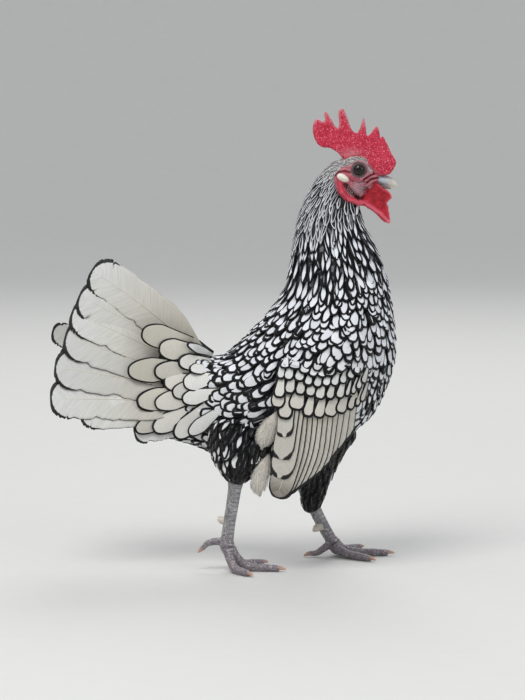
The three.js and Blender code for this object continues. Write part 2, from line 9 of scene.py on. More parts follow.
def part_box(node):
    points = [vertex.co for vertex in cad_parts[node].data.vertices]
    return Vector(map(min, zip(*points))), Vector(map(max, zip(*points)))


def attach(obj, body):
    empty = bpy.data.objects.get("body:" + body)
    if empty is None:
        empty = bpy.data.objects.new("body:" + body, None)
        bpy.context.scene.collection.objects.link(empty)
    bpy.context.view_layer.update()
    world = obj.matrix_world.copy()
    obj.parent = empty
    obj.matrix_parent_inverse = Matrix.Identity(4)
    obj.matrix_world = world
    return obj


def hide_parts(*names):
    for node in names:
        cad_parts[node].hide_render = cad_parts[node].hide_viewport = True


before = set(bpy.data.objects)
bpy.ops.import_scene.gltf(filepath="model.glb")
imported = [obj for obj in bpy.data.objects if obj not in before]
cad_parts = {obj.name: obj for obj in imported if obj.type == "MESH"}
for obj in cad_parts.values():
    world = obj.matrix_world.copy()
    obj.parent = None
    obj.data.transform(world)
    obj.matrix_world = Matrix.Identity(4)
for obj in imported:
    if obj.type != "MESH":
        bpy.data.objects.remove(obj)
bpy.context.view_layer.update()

# Lengths are in mm, set out as on the solids before those were centred over their footprint
mm = 0.001
eyeBall = {"x": 96.0, "y": 9.7, "z": 284.3, "radius": 4.9}
eyeLow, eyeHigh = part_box("eye_right")
shift = np.array([  # the eye solid's widest ring stands a little inside its full radius
    eyeHigh.x / mm - eyeBall["x"] - eyeBall["radius"] * math.sin(math.pi * 3 / 7),
    (eyeLow.y + eyeHigh.y) / 2 / mm + eyeBall["y"],
    0.0,
])


# ---- shape helpers
def splineRows(rows, share):
    # a smooth curve through the rows, read at shares from 0 to 1
    rows = np.asarray(rows, float)
    ends = np.vstack([2 * rows[0] - rows[1], rows, 2 * rows[-1] - rows[-2]])
    place = np.clip(np.asarray(share, float), 0, 1) * (len(rows) - 1)
    step = np.minimum(place.astype(int), len(rows) - 2)
    f = (place - step)[..., None]
    a, b, c, d = ends[step], ends[step + 1], ends[step + 2], ends[step + 3]
    return 0.5 * (2 * b + (c - a) * f + (2 * a - 5 * b + 4 * c - d) * f**2 + (3 * b - a - 3 * c + d) * f**3)


def turnOf(count):
    # angles of the places round a ring, as a column
    return np.linspace(0, 2 * math.pi, count, endpoint=False)[:, None]


def unit(v):
    return v / np.maximum(np.linalg.norm(v, axis=-1, keepdims=True), 1e-9)


def smoothStep(low, high, x):
    t = np.clip((x - low) / (high - low), 0, 1)
    return t * t * (3 - 2 * t)


# ---- the bird's form, ring by ring
# Body: back (x, z), front (x, z), half width, how far the widest place is from the middle
bodyRings = [
    (86, 281, 86, 281, 0, 0), (71, 283, 98, 266, 12.5, 0), (61.5, 272, 98.5, 257, 15.5, 0),
    (53.5, 255, 101, 245.5, 19, 0), (48.8, 236, 107, 234, 23.5, 0), (46.2, 217, 114.5, 218, 29, 0.05),
    (43, 201.5, 119.5, 197, 35, 0.08), (34.5, 187.5, 123, 174, 40.5, 0.08), (23, 174, 124, 153, 44.5, 0.08),
    (11, 162, 119.5, 133, 46, 0.06), (1, 153.5, 106, 106, 45, 0.05), (-8.4, 150.7, 76, 85, 41, 0.05),
    (-15, 152.5, 38, 75, 35.5, 0.08), (-21, 157, 5, 73.5, 28, 0.2), (-30, 165, -19, 84.5, 21.5, 0.4),
    (-43, 169, -41, 91, 16, 0.7), (-55, 166, -55, 100, 11.5, 0.75), (-64, 154, -64, 114, 7, 0.6),
    (-68, 136, -68, 136, 0, 0.5),
]
# Head: crown (x, z), jaw (x, z), half width, how far the widest place is from the middle
headRings = [
    (66, 273, 66, 273, 0, 0), (69.5, 281.5, 68.5, 262, 8.5, 0), (76, 289.2, 76, 257.5, 12.2, 0),
    (84.5, 293.6, 86, 258, 13.6, -0.05), (93.5, 294.4, 95, 260.2, 13.4, -0.08),
    (101.5, 291, 101.5, 264.5, 10.8, -0.05), (107, 284.5, 106.5, 269, 7, 0),
    (110.5, 280.8, 109.5, 272.5, 4.6, 0), (112, 276.8, 112, 276.8, 0, 0),
]


def ringGrid(rings, around, along, sink=0.0):
    share = np.linspace(0, 1, along)
    rows = splineRows(rings, share)
    back = np.stack([rows[:, 0], 0 * share, rows[:, 1]], 1)
    front = np.stack([rows[:, 2], 0 * share, rows[:, 3]], 1)
    middle, half = (back + front) / 2, (back - front) / 2
    reach = np.linalg.norm(half, axis=1)
    half = half * ((reach - sink).clip(0) / reach.clip(1e-6))[:, None]
    angle = turnOf(around)
    side = (rows[:, 4] - sink).clip(0) * np.sin(angle) * (1 - rows[:, 5] * np.cos(angle))
    grid = middle[None] + np.cos(angle)[..., None] * half[None]
    grid[..., 1] += side
    return grid


def limbGrid(rows, around, along, grow=0.0, side=(0, 1, 0)):
    # rows: centre x, y, z, half width across, half depth the other way
    share = np.linspace(0, 1, along)
    places = splineRows([row[:3] for row in rows], share)
    sizes = splineRows([row[3:5] for row in rows], share).clip(0)
    heading = unit(np.gradient(places, axis=0))
    across = unit(np.array(side, float) - heading * (heading @ np.array(side, float))[:, None])
    up = np.cross(across, heading)
    ends = np.sqrt(np.clip(sizes / 3, 0, 1))
    angle = turnOf(around)
    wide, deep = sizes[:, 0] + grow * ends[:, 0], sizes[:, 1] + grow * ends[:, 1]
    return (places[None] + (np.cos(angle) * wide)[..., None] * across[None]
            + (np.sin(angle) * deep)[..., None] * up[None])


# Folded wing: centre (x, z), reach forward, reach back, outer face, curl in front and behind, thickness
wingRings = [
    (96, 191, 0, 0, 38, 0, 0, 0), (92, 181, 13, 15, 45, 5, 3, 5), (80.5, 153, 29, 30, 53, 18, 6, 8),
    (66.5, 120, 36, 30, 53, 19, 5, 7.5), (52.2, 87, 28, 18.5, 51, 10, 4, 5.5),
    (44, 67.5, 17, 12.5, 48, 4, 2, 4), (40.2, 57, 8.5, 7.5, 46, 1, 1, 2.6), (38.4, 51, 0, 0, 45, 0, 0, 0),
]
wingDown = np.array([-0.396, 0, -0.918])
wingForward = np.array([0.918, 0, -0.396])


def wingGrid(side, around, along, sink=0.0, trim=0.0):
    rows = splineRows(wingRings, np.linspace(0, 1, along))
    angle = turnOf(around)
    lean = np.cos(angle)
    reach = np.where(lean > 0, rows[:, 2], rows[:, 3]).clip(0) - trim
    inward = np.where(lean > 0, rows[:, 5], rows[:, 6]) * lean**2
    depth = np.maximum(rows[:, 7] - sink, 0.6) * 0.5 * (1 - np.sin(angle)) + sink
    grid = np.zeros((around, along, 3))
    grid[..., 0] = rows[:, 0] + reach.clip(0) * lean * wingForward[0] + 2 * lean**2 * wingDown[0]
    grid[..., 2] = rows[:, 1] + reach.clip(0) * lean * wingForward[2] + 2 * lean**2 * wingDown[2]
    grid[..., 1] = side * (rows[:, 4] - inward - depth)
    return grid


thighRows = {
    -1: [(20, -17, 110, 0, 0), (16, -22, 100, 15, 24), (12.5, -26, 88.5, 17, 25),
         (10.5, -29, 78.5, 15.5, 20.5), (9.6, -30, 69.5, 11, 13), (9.2, -30, 63.6, 6.6, 7),
         (9, -30, 61.4, 0, 0)],
    1: [(72, 17, 108, 0, 0), (75, 22, 94, 15, 21), (73, 26, 80, 15, 15.5), (68.5, 29, 64, 12, 12.6),
        (64.6, 30, 49, 10, 10.4), (63.8, 30, 39, 8, 8.4), (65, 30, 33.5, 5, 5.4), (65.6, 30, 31.5, 0, 0)],
}


# ---- meshes
def gridFaces(around, along, start=0):
    i, j = np.meshgrid(np.arange(around), np.arange(along - 1), indexing="ij")
    k = (i + 1) % around
    corners = [i * along + j, i * along + j + 1, k * along + j + 1, k * along + j]
    return start + np.stack(corners, -1).reshape(-1, 4)


def makeMesh(name, points, faces, materials, slots=None, uvs=None, values=None):
    # points in mm; faces one (n, k) array or several; uvs {map: (loops, 2)}; values {attribute: (points,)}
    mesh = bpy.data.meshes.new(name)
    groups = faces if isinstance(faces, list) else [faces]
    sizes = np.concatenate([np.full(len(g), g.shape[1]) for g in groups])
    loops = np.concatenate([g.ravel() for g in groups])
    mesh.vertices.add(len(points))
    mesh.vertices.foreach_set("co", ((points + shift) * mm).astype(np.float32).ravel())
    mesh.loops.add(len(loops))
    mesh.loops.foreach_set("vertex_index", loops.astype(np.int32))
    mesh.polygons.add(len(sizes))
    mesh.polygons.foreach_set("loop_start", (np.cumsum(sizes) - sizes).astype(np.int32))
    mesh.update(calc_edges=True)
    mesh.validate()
    for material in materials:
        mesh.materials.append(material)
    if slots is not None:
        mesh.polygons.foreach_set("material_index", np.asarray(slots, np.int32))
    for layer, uv in (uvs or {}).items():
        mesh.uv_layers.new(name=layer).data.foreach_set("uv", np.asarray(uv, np.float32).ravel())
    for attribute, value in (values or {}).items():
        data = mesh.attributes.new(attribute, "FLOAT", "POINT").data
        data.foreach_set("value", np.asarray(value, np.float32))
    mesh.polygons.foreach_set("use_smooth", np.ones(len(sizes), bool))
    piece = bpy.data.objects.new(name, mesh)
    bpy.context.scene.collection.objects.link(piece)
    return piece


# ---- forms that feathers lie on
def formOf(points, faces, flows, maps):
    # a surface with the flow of feathers over it. flows and maps: one row a face, or made from its middle
    a, b, c, d = (points[faces[:, k]] for k in range(4))
    normals, middles = np.cross(c - a, d - b), (a + b + c + d) / 4
    return {"tree": BVHTree.FromPolygons([Vector(p) for p in points], faces.tolist()), "points": points,
            "faces": faces, "flows": flows(middles) if callable(flows) else flows,
            "maps": maps(middles) if callable(maps) else maps, "middles": middles,
            "areas": np.linalg.norm(normals, axis=1) / 2, "normals": unit(normals)}


def gridForm(grid):
    # feathers flow along the grid
    around, along = grid.shape[:2]
    maps = np.stack(np.meshgrid(np.arange(around) / around, np.arange(along - 1) / along, indexing="ij"), -1)
    run = grid[:, 1:] - grid[:, :-1]
    run = (run + np.roll(run, -1, axis=0)) / 2
    faces = gridFaces(around, along)
    corners = grid.reshape(-1, 3)[faces]
    outward = corners.mean(1) - np.tile(grid.mean(0)[:-1], (around, 1))
    facing = (np.cross(corners[:, 2] - corners[:, 0], corners[:, 3] - corners[:, 1]) * outward).sum()
    return formOf(grid.reshape(-1, 3), faces if facing > 0 else faces[:, ::-1], unit(run).reshape(-1, 3),
                  maps.reshape(-1, 2))


def patchPlaces(form, spots, wide, tall):
    # a free patch of the bake map for each spot, as near as can be to its place on the unwrapped form
    nearest = form["tree"].find_nearest
    wanted = np.array([form["maps"][nearest(spot)[2]] for spot in spots])
    columns, rows = int(0.98 / wide), int(0.98 / tall)
    taken, places = set(), np.empty((len(spots), 2))
    for k, (u, v) in enumerate(wanted):
        i, j = int(u * columns), int(v * rows)
        for ring in range(columns):
            cells = [(a, b) for a in range(max(0, i - ring), min(columns, i + ring + 1))
                     for b in range(max(0, j - ring), min(rows, j + ring + 1))
                     if max(abs(a - i), abs(b - j)) == ring and (a, b) not in taken]
            if cells:
                break
        cell = cells[0]
        taken.add(cell)
        places[k] = 0.01 + cell[0] * wide, 0.01 + cell[1] * tall
    return places


def settle(form, spots):
    # the nearest places on a form, with its normals and the flow there
    found, normals, ids = np.empty((len(spots), 3)), np.empty((len(spots), 3)), np.empty(len(spots), int)
    nearest = form["tree"].find_nearest
    for i, spot in enumerate(spots):
        at, normal, index, _ = nearest(spot)
        found[i], normals[i], ids[i] = at, normal, index
    return found, normals, form["flows"][ids]


spread = {"tries": 14, "gap": 0.84, "rounds": 4, "reach": 1.12, "push": 0.22}


def scatter(form, spacing, keep, seed, stretch=1.0):
    # even but irregular places over a form: spacing(p) in mm, keep(p, n) says where. Along the lie of
    # the coat the places stand closer by the stretch
    chance = np.random.default_rng(seed)
    wanted = spacing(form["middles"])
    kept = keep(form["middles"], form["normals"])
    share = form["areas"] * stretch / wanted**2 * kept
    tries = int(share.sum() * spread["tries"])
    pick = chance.choice(len(share), tries, p=share / share.sum())
    a, b, c, d = form["points"][form["faces"][pick]].transpose(1, 0, 2)
    u, v = chance.random((2, tries, 1))
    spots = (a * (1 - u) + d * u) * (1 - v) + (b * (1 - u) + c * u) * v
    flows = form["flows"][pick]
    gaps = spacing(spots) * spread["gap"]
    cell = gaps.max() * max(1, 1 / stretch)
    cells, chosen = {}, []
    keys = np.floor(spots / cell).astype(int)
    for i in range(tries):
        x, y, z = keys[i]
        near = [j for a in (x - 1, x, x + 1) for b in (y - 1, y, y + 1) for c in (z - 1, z, z + 1)
                for j in cells.get((a, b, c), ())]
        if near:
            gone = spots[near] - spots[i]
            if ((gone * gone).sum(1) + (stretch**2 - 1) * (gone @ flows[i]) ** 2 < gaps[i] ** 2).any():
                continue
        cells.setdefault((x, y, z), []).append(i)
        chosen.append(i)
    spots = spots[chosen]
    for _ in range(spread["rounds"]):  # neighbours push each other apart, then settle on the form again
        gaps = spacing(spots) * spread["reach"]
        spots, _, flows = settle(form, spots)
        tree = kdtree.KDTree(len(spots))
        for i, spot in enumerate(spots):
            tree.insert(spot, i)
        tree.balance()
        push = np.zeros_like(spots)
        for i, spot in enumerate(spots):
            for at, j, far in tree.find_range(spot, gaps[i] * max(1, 1 / stretch)):
                gone = spot - np.array(at)
                seen = math.sqrt(far**2 + (stretch**2 - 1) * (gone @ flows[i]) ** 2)
                if j != i and far > 1e-6 and seen < gaps[i]:
                    push[i] += gone / far * (gaps[i] - seen)
        spots = settle(form, spots + push * spread["push"])[0]
    normals = settle(form, spots)[1]
    return spots[keep(spots, normals) > 0]


def marchSpines(form, roots, twist, lengths, steps=6):
    # follows the lie of the coat from each root: spine places, normals and headings
    at, normal, flow = settle(form, roots)
    side = np.cross(normal, flow)
    heading = unit(flow * np.cos(twist)[:, None] + side * np.sin(twist)[:, None])
    spine, normals, headings = [], [], []
    for k in range(steps):
        heading = unit(heading - normal * (heading * normal).sum(1)[:, None])
        spine.append(at)
        normals.append(normal)
        headings.append(heading)
        if k < steps - 1:
            at, normal, flow = settle(form, at + heading * (lengths / (steps - 1))[:, None])
            side = np.cross(normal, flow)
            wanted = flow * np.cos(twist)[:, None] + side * np.sin(twist)[:, None]
            heading = unit(heading * 0.65 + wanted * 0.35)
    return np.stack(spine, 1), np.stack(normals, 1), np.stack(headings, 1)


# ---- small feathers
# One feather is a thin closed lens: a black rim round a pale middle on top, and a plain underside.
def readAt(table, share, who=()):
    # a table with rows along a spine, read at shares of its length; who: the feather each share is for
    rows = table.shape[-2]
    place = np.clip(share, 0, 1) * (rows - 1)
    step = np.minimum(place.astype(int), rows - 2)
    f = (place - step)[..., None]
    return table[(*who, step)] * (1 - f) + table[(*who, step + 1)] * f


def outlineOf(wide, length, base, point, widest, rows):
    # half widths and distances from the root, row by row, the last row being the tip
    turn = np.radians(np.linspace(0, 90, rows - 1))
    across = np.concatenate([np.stack([base, (1 + base) / 2], 1), np.cos(turn)[None] ** point[:, None]], 1)
    along = np.concatenate([
        np.stack([0 * widest, widest * 0.5], 1),
        widest[:, None] + (1 - widest)[:, None] * np.sin(turn)[None],
    ], 1)
    across[:, -1] = 0
    return across * wide[:, None], along * length[:, None]


featherLook = {  # a feather where its coat doesn't say otherwise: lengths in mm, and the spread of each
    "length": 10, "half": 3, "lace": 1, "mess": 0.12, "sizeMess": 0.05, "laceMess": 0.12, "liftMess": 0.12,
    "point": 0.62, "widest": 0.5, "base": 0.55, "sink": 2.0, "lift": 0.0, "thick": 0.22, "crown": 0.5,
    "tipLace": 1.25, "tipDrop": 0.25,
    "pale": 1, "cream": 0, "clean": 0,  # pale 0 is all black; clean lifts the grey of its root, down and painted shade
}


def featherMesh(name, form, feathers, materials, seed, featherRows=7, ready=None, slot="laced_feather"):
    # feathers: {what: a value for all, or one each}. ready: spines, normals and headings laid before,
    # where the feathers don't follow the form
    chance = np.random.default_rng(seed)
    count = len(feathers["root"])
    look = {key: np.broadcast_to(np.asarray(feathers.get(key, usual), float), count)
            for key, usual in featherLook.items()}
    vary = lambda key: chance.normal(0, 1, count) * look[key]
    twist = vary("mess")
    length, half = look["length"] * (1 + vary("sizeMess")), look["half"] * (1 + vary("sizeMess"))
    lace, tipLace = look["lace"] * np.exp(vary("laceMess")), look["tipLace"]
    lift = look["lift"] + chance.uniform(-1, 1, count) * look["liftMess"]
    columns = (look[key][:, None] for key in ("sink", "crown", "thick", "tipDrop", "pale"))
    sink, crown, thick, tipDrop, pale = columns

    if ready:
        spine, normals, headings = ready
        length = np.linalg.norm(np.diff(spine, axis=1), axis=2).sum(1)
    else:
        spine, normals, headings = marchSpines(form, feathers["root"], twist, length)
    sides = np.cross(normals, headings)
    # how fast the form falls away to each side, read at the middle of the spine
    mid = spine.shape[1] // 2
    sag = np.zeros(count)
    for way in (-1, 1):
        probe = spine[:, mid] + sides[:, mid] * (way * half)[:, None]
        fall = ((probe - settle(form, probe)[0]) * normals[:, mid]).sum(1)
        sag += fall / half**2 / 2
    sag = np.clip(sag, -0.02, 0.06)

    wide, far = outlineOf(half, length, look["base"], look["point"], look["widest"], featherRows)
    # outward normals of the outline, to step the pale middle in from it
    runWide, runFar = np.gradient(wide, axis=1), np.gradient(far, axis=1)
    run = np.sqrt(runWide**2 + runFar**2).clip(1e-6)
    outWide, outFar = runFar / run, -runWide / run
    rim = lace[:, None] * (1 + (tipLace - 1)[:, None] * smoothStep(0.55, 1, far / length[:, None]))
    inWide = (wide - outWide * rim).clip(0)
    inFar = (far - outFar * rim).clip(0)
    inWide[:, -1], inFar[:, -1] = 0, (length - lace * tipLace)
    inFar[:, 0] = 0
    inFar = np.minimum(inFar, inFar[:, -1:])
    inWide = inWide * np.maximum(pale, 0.02)

    rows = featherRows + 1
    zero = np.zeros((count, rows))
    across = np.concatenate([-wide, wide[:, :-1], -inWide, inWide[:, :-1], zero[:, :-1], zero[:, :-1]], 1)
    along = np.concatenate([far, far[:, :-1], inFar, inFar[:, :-1], inFar[:, :-1], far[:, :-1]], 1)
    under = np.concatenate([np.zeros((count, (rows * 2 - 1) * 2 + rows - 1)), np.ones((count, rows - 1))], 1)

    share = np.clip(along / length[:, None], 0, 1)
    who = (np.arange(count)[:, None],)
    at, normal, side = (readAt(table, share, who) for table in (spine, normals, sides))
    normal, side = unit(normal), unit(side)
    hump, tip = crown * (1 - (across / half[:, None]) ** 2), tipDrop * smoothStep(0.75, 1, share)
    height = -sink * (1 - share**0.9) + lift[:, None] + hump - crown - tip
    height = height - under * thick - sag[:, None] * across**2
    points = at + side * across[..., None] + normal * height[..., None]

    # the points in their order: outline left and right, rim's inner edge left and right, shaft line, belly
    leftOut, rightOut = list(range(rows)), [*range(rows, 2 * rows - 1), rows - 1]
    first = 2 * rows - 1
    leftIn, rightIn = [first + k for k in leftOut], [first + k for k in rightOut]
    first *= 2
    shaft = [*range(first, first + rows - 1), leftIn[-1]]
    belly = [*range(first + rows - 1, first + 2 * rows - 2), rows - 1]
    quads, tris, quadSlots, triSlots = [], [], [], []

    def addFace(corners, slot):
        corners = list(dict.fromkeys(corners))
        (quads if len(corners) == 4 else tris).append(corners)
        (quadSlots if len(corners) == 4 else triSlots).append(slot)

    for j in range(rows - 1):  # the rim and the underside are dark, the middle pale
        addFace([leftOut[j], leftIn[j], leftIn[j + 1], leftOut[j + 1]], 1)
        addFace([rightOut[j], rightOut[j + 1], rightIn[j + 1], rightIn[j]], 1)
        addFace([leftIn[j], shaft[j], shaft[j + 1], leftIn[j + 1]], 0)
        addFace([shaft[j], rightIn[j], rightIn[j + 1], shaft[j + 1]], 0)
        addFace([leftOut[j], leftOut[j + 1], belly[j + 1], belly[j]], 1)
        addFace([belly[j], belly[j + 1], rightOut[j + 1], rightOut[j]], 1)
    addFace([leftOut[0], belly[0], shaft[0], leftIn[0]], 1)
    addFace([belly[0], rightOut[0], rightIn[0], shaft[0]], 1)

    per = points.shape[1]
    steps = (np.arange(count) * per)[:, None, None]
    flat = [(np.array(group)[None] + steps).reshape(-1, len(group[0])) for group in (quads, tris)]
    slots = np.concatenate([np.tile(quadSlots, count), np.tile(triSlots, count)])

    # one map for the barbs in real mm, one with a small patch for each feather at its root's place
    vane = np.stack([across, along], -1)
    patch = 0.003
    corner = patchPlaces(form, feathers["root"], patch * 2.4, patch * 1.2)
    square = np.stack([across / half[:, None] * 0.5 + 0.5, share], -1) * patch
    whole = corner[:, None] + square
    rimmed = whole + np.array([patch * 1.2, 0])
    loops = [group.ravel() for group in flat]
    slotLoops = np.concatenate([
        np.repeat(np.tile(quadSlots, count), 4), np.repeat(np.tile(triSlots, count), 3)])
    index = np.concatenate(loops)
    bake = np.where((slotLoops == 1)[:, None], rimmed.reshape(-1, 2)[index], whole.reshape(-1, 2)[index])
    uvs = {"OFBake": bake, "vane": vane.reshape(-1, 2)[index]}
    values = {"tone": np.repeat(chance.random(count), per), "cream": np.repeat(look["cream"], per),
              "shade": (share + look["clean"][:, None]).clip(0, 1).ravel()}
    piece = makeMesh(name, points.reshape(-1, 3), flat, materials, slots, uvs, values)
    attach(piece, "root")
    return piece


# ---- finishes
def linear(hexColour):
    channels = [int(hexColour[i:i + 2], 16) / 255 for i in (1, 3, 5)]
    return [c / 12.92 if c <= 0.04045 else ((c + 0.055) / 1.055) ** 2.4 for c in channels] + [1.0]


rgb = {"out": 2, "data_type": "RGBA"}  # what a Mix node needs to blend colours


def addNode(tree, kind, inputs=None, out=0, **settings):
    # inputs: {socket name or number: a value, a hex colour, or a socket to link from}. Gives back an output
    node = tree.nodes.new("ShaderNode" + kind)
    for setting, value in settings.items():
        setattr(node, setting, value)
    for socket, value in (inputs or {}).items():
        if isinstance(value, bpy.types.NodeSocket):
            tree.links.new(value, node.inputs[socket])
        else:
            node.inputs[socket].default_value = linear(value) if isinstance(value, str) else value
    return node.outputs[out]


def newMaterial(name, attributes="", **constants):
    # attributes: the values it reads from the mesh, by name
    material = bpy.data.materials.new(name)
    material.use_nodes = True
    tree = material.node_tree
    for socket, value in constants.items():
        tree.nodes["Principled BSDF"].inputs[socket.replace("_", " ")].default_value = value
    return material, tree, {key: addNode(tree, "Attribute", out="Fac", attribute_name=key)
                            for key in attributes.split()}


def finishMaterial(material, colour, height=None, strength=0.3, rise=0.2):
    # links the colour, and a bump of a rise in mm where a height is given
    tree, inputs = material.node_tree, material.node_tree.nodes["Principled BSDF"].inputs
    tree.links.new(colour, inputs["Base Color"])
    if height:
        bump = addNode(tree, "Bump", {"Height": height, "Strength": strength, "Distance": rise * mm})
        tree.links.new(bump, inputs["Normal"])
    return material


def barbStreaks(tree, tone, fine, coarse, lean=0.75):
    # barbs leave the shaft at a slant: streaks fine across them and long along them, in mm of the vane map
    vane = addNode(tree, "UVMap", uv_map="vane")
    across, along = (addNode(tree, "SeparateXYZ", {0: vane}, out=k) for k in (0, 1))
    aside = addNode(tree, "Math", {0: across}, operation="ABSOLUTE")
    slant = addNode(tree, "Math", {0: aside, 1: -lean, 2: along}, operation="MULTIPLY_ADD")
    own = addNode(tree, "Math", {0: tone, 1: 400.0}, operation="MULTIPLY")
    place = addNode(tree, "CombineXYZ", {"X": slant, "Y": across, "Z": own})
    place = addNode(tree, "VectorMath", {0: place, 1: (1 / fine, 1 / coarse, 1.0)}, operation="MULTIPLY")
    return addNode(tree, "TexNoise", {"Vector": place, "Scale": 1.0, "Detail": 2.0, "Roughness": 0.55})


def ribbedTone(tree, hue, tone, streaks, worn, ribs):
    # a hue made lighter and darker from feather to feather (worn) and from barb to barb (ribs)
    worn = addNode(tree, "MapRange", {0: tone, 3: worn[0], 4: worn[1]})
    ribs = addNode(tree, "MapRange", {0: streaks, 1: ribs[0], 2: ribs[1], 3: ribs[2], 4: ribs[3]})
    both = addNode(tree, "Math", {0: worn, 1: ribs}, operation="MULTIPLY")
    return addNode(tree, "VectorMath", {0: hue, "Scale": both}, operation="SCALE")


def makeFeatherPale(name, cool, warm, base):
    # Vane of a white feather: keratin barbs hooked into a matt sheet, faintly ribbed at a slant, greyer
    # towards its root, where grey down shows through and painted shade stands for the feathers lying over it
    material, tree, read = newMaterial(name, "tone cream shade", Roughness=0.62, IOR=1.55,
                                       Specular_IOR_Level=0.35, Sheen_Weight=0.12, Sheen_Roughness=0.45)
    streaks = barbStreaks(tree, read["tone"], 0.35, 2.4)
    hue = addNode(tree, "Mix", {0: read["cream"], 6: cool, 7: warm}, **rgb)
    toned = ribbedTone(tree, hue, read["tone"], streaks, (0.86, 1.06), (0.3, 0.7, 0.9, 1.04))
    downAndShade = addNode(tree, "MapRange", {0: read["shade"], 1: 0.1, 2: 0.45, 3: 1.0, 4: 0.0})
    return finishMaterial(material, addNode(tree, "Mix", {0: downAndShade, 6: toned, 7: base}, **rgb), streaks, 0.25)


def makeFeatherInk(name, deep, worn):
    # Lacing: the same vane full of melanin, black, streaked with a dull blue-brown where barbs fray: painted
    # sheen and frayed wear
    material, tree, read = newMaterial(name, "tone", Roughness=0.5, IOR=1.55, Specular_IOR_Level=0.28,
                                       Sheen_Weight=0.02, Sheen_Roughness=0.4)
    streaks = barbStreaks(tree, read["tone"], 0.4, 1.8)
    # paler blue-brown streaks: painted sheen, and wear where barbs fray
    bloom = addNode(tree, "Math", {0: streaks, 1: read["tone"]}, operation="MULTIPLY")
    fray = addNode(tree, "MapRange", {0: bloom, 1: 0.1, 2: 0.6})
    return finishMaterial(material, addNode(tree, "Mix", {0: fray, 6: deep, 7: worn}, **rgb), streaks)


# the last colour greys each vane's root: grey down and painted shade under the feathers lying over it
paleVane = makeFeatherPale("whiteVane", "#e8ebf0", "#cdc8ba", "#8b8c92")
inkVane = makeFeatherInk("blackLacing", "#050507", "#17161b")

# ---- coat of the neck and trunk
def wingForm(side, sink=0.0, trim=0.0):
    return gridForm(wingGrid(side, 96, 90, sink, trim))


# Where the wing lifts the coat and turns its feathers, as heights, and the rounds of smoothing
shoulder = {"coverFrom": 104, "coverFull": 122, "flowFrom": 186, "flowFull": 160, "rounds": 4}


def dressedForm():
    # the body with the upper wings lifting its coat, so that feathers run on from shoulder to wing
    grid = ringGrid(bodyRings, 120, 230)
    turned, share = np.zeros_like(grid), np.zeros(grid.shape[:2])
    flat = grid.copy()
    for side in (-1, 1):
        wing = wingForm(side)
        for i, j in zip(*np.nonzero((grid[..., 1] * side > 8) & (grid[..., 2] > 100))):
            x, y, z = flat[i, j]
            at, _, face, _ = wing["tree"].ray_cast((x, side * 150, z), (0, -side, 0))
            if at is not None:
                reach = smoothStep(shoulder["coverFrom"], shoulder["coverFull"], z)
                cover = max(0.0, (at.y - y) * side) * reach
                grid[i, j, 1] += side * cover
                turned[i, j] = wing["flows"][face]
                share[i, j] = smoothStep(shoulder["flowFrom"], shoulder["flowFull"], z)
    for _ in range(shoulder["rounds"]):
        soft = (np.roll(grid, 1, 0) + np.roll(grid, -1, 0) + 2 * grid) / 4
        soft[:, 1:-1] = (soft[:, 2:] + soft[:, :-2] + 2 * soft[:, 1:-1]) / 4
        grid[:, 1:-1] = soft[:, 1:-1]
    form = gridForm(grid)

    def ofFaces(table):
        beside = np.roll(table, -1, 0)
        both = table[:, :-1] + table[:, 1:] + beside[:, :-1] + beside[:, 1:]
        return (both / 4).reshape(len(form["flows"]), -1)

    weight = ofFaces(share[..., None])
    form["flows"] = unit(form["flows"] * (1 - weight) + unit(ofFaces(turned)) * weight)
    return form


bodyForm = dressedForm()
# Lie of the coat read from the nearest guides: place (x, z), spacing, length, lacing, how pointed,
# share left all black, how much of a black feather's middle may be pale, cream tint
coatGuides = np.array([
    (72, 283, 2.2, 8.5, 0.55, 1.3, 0.05, 1.0, 0.1), (66, 262, 2.6, 12, 0.62, 1.35, 0.1, 1.0, 0.0),
    (72, 240, 3.1, 14, 0.82, 1.3, 0.12, 1.0, 0.0), (75, 220, 4.0, 14.5, 1.1, 1.1, 0.14, 1.0, 0.0),
    (66, 202, 5.2, 14, 1.35, 0.95, 0.12, 1.0, 0.0), (112, 212, 5.4, 12, 1.32, 0.7, 0.08, 1.0, 0.0),
    (75, 182, 7.6, 15, 1.5, 0.6, 0.0, 1.0, 0.0), (118, 170, 7.0, 13.5, 1.55, 0.62, 0.02, 0.0, 0.0),
    (105, 115, 7.0, 14, 1.7, 0.62, 0.1, 1.0, 0.0), (114, 128, 6.8, 13, 2.1, 0.62, 0.12, 0.0, 0.1),
    (70, 85, 6.4, 14, 2.2, 0.62, 0.7, 0.8, 0.0),
    (35, 180, 6.8, 13, 1.68, 0.62, 0.03, 0.0, 0.0), (10, 158, 6.2, 12.5, 1.75, 0.62, 0.08, 0.0, 0.0),
    (-14, 148, 5.8, 12.5, 1.6, 0.62, 0.15, 1.0, 0.1), (28, 135, 7.4, 14.5, 1.7, 0.62, 0.03, 0.0, 0.15),
    (-5, 120, 7.2, 15, 1.5, 0.62, 0.12, 1.0, 0.2), (88, 172, 6.5, 12.5, 1.52, 0.62, 0.0, 1.0, 0.2),
    (75, 155, 6.7, 13, 1.55, 0.62, 0.0, 1.0, 0.3), (58, 138, 7.2, 14, 1.58, 0.62, 0.03, 1.0, 0.5),
    (96, 148, 6.5, 12.5, 1.6, 0.62, 0.0, 1.0, 0.3), (18, 100, 6.6, 13, 1.9, 0.62, 0.5, 0.3, 0.3),
    (-8, 92, 6.6, 13, 1.8, 0.62, 0.5, 0.3, 0.3), (-35, 120, 8.0, 19, 1.6, 0.62, 0.05, 1.0, 0.4),
])


def readGuides(spots, guides=coatGuides):
    away = np.hypot(spots[:, None, 0] - guides[None, :, 0], spots[:, None, 2] - guides[None, :, 1])
    weight = 1 / (away + 4) ** 3.5
    return (weight / weight.sum(1, keepdims=True)) @ guides[:, 2:]


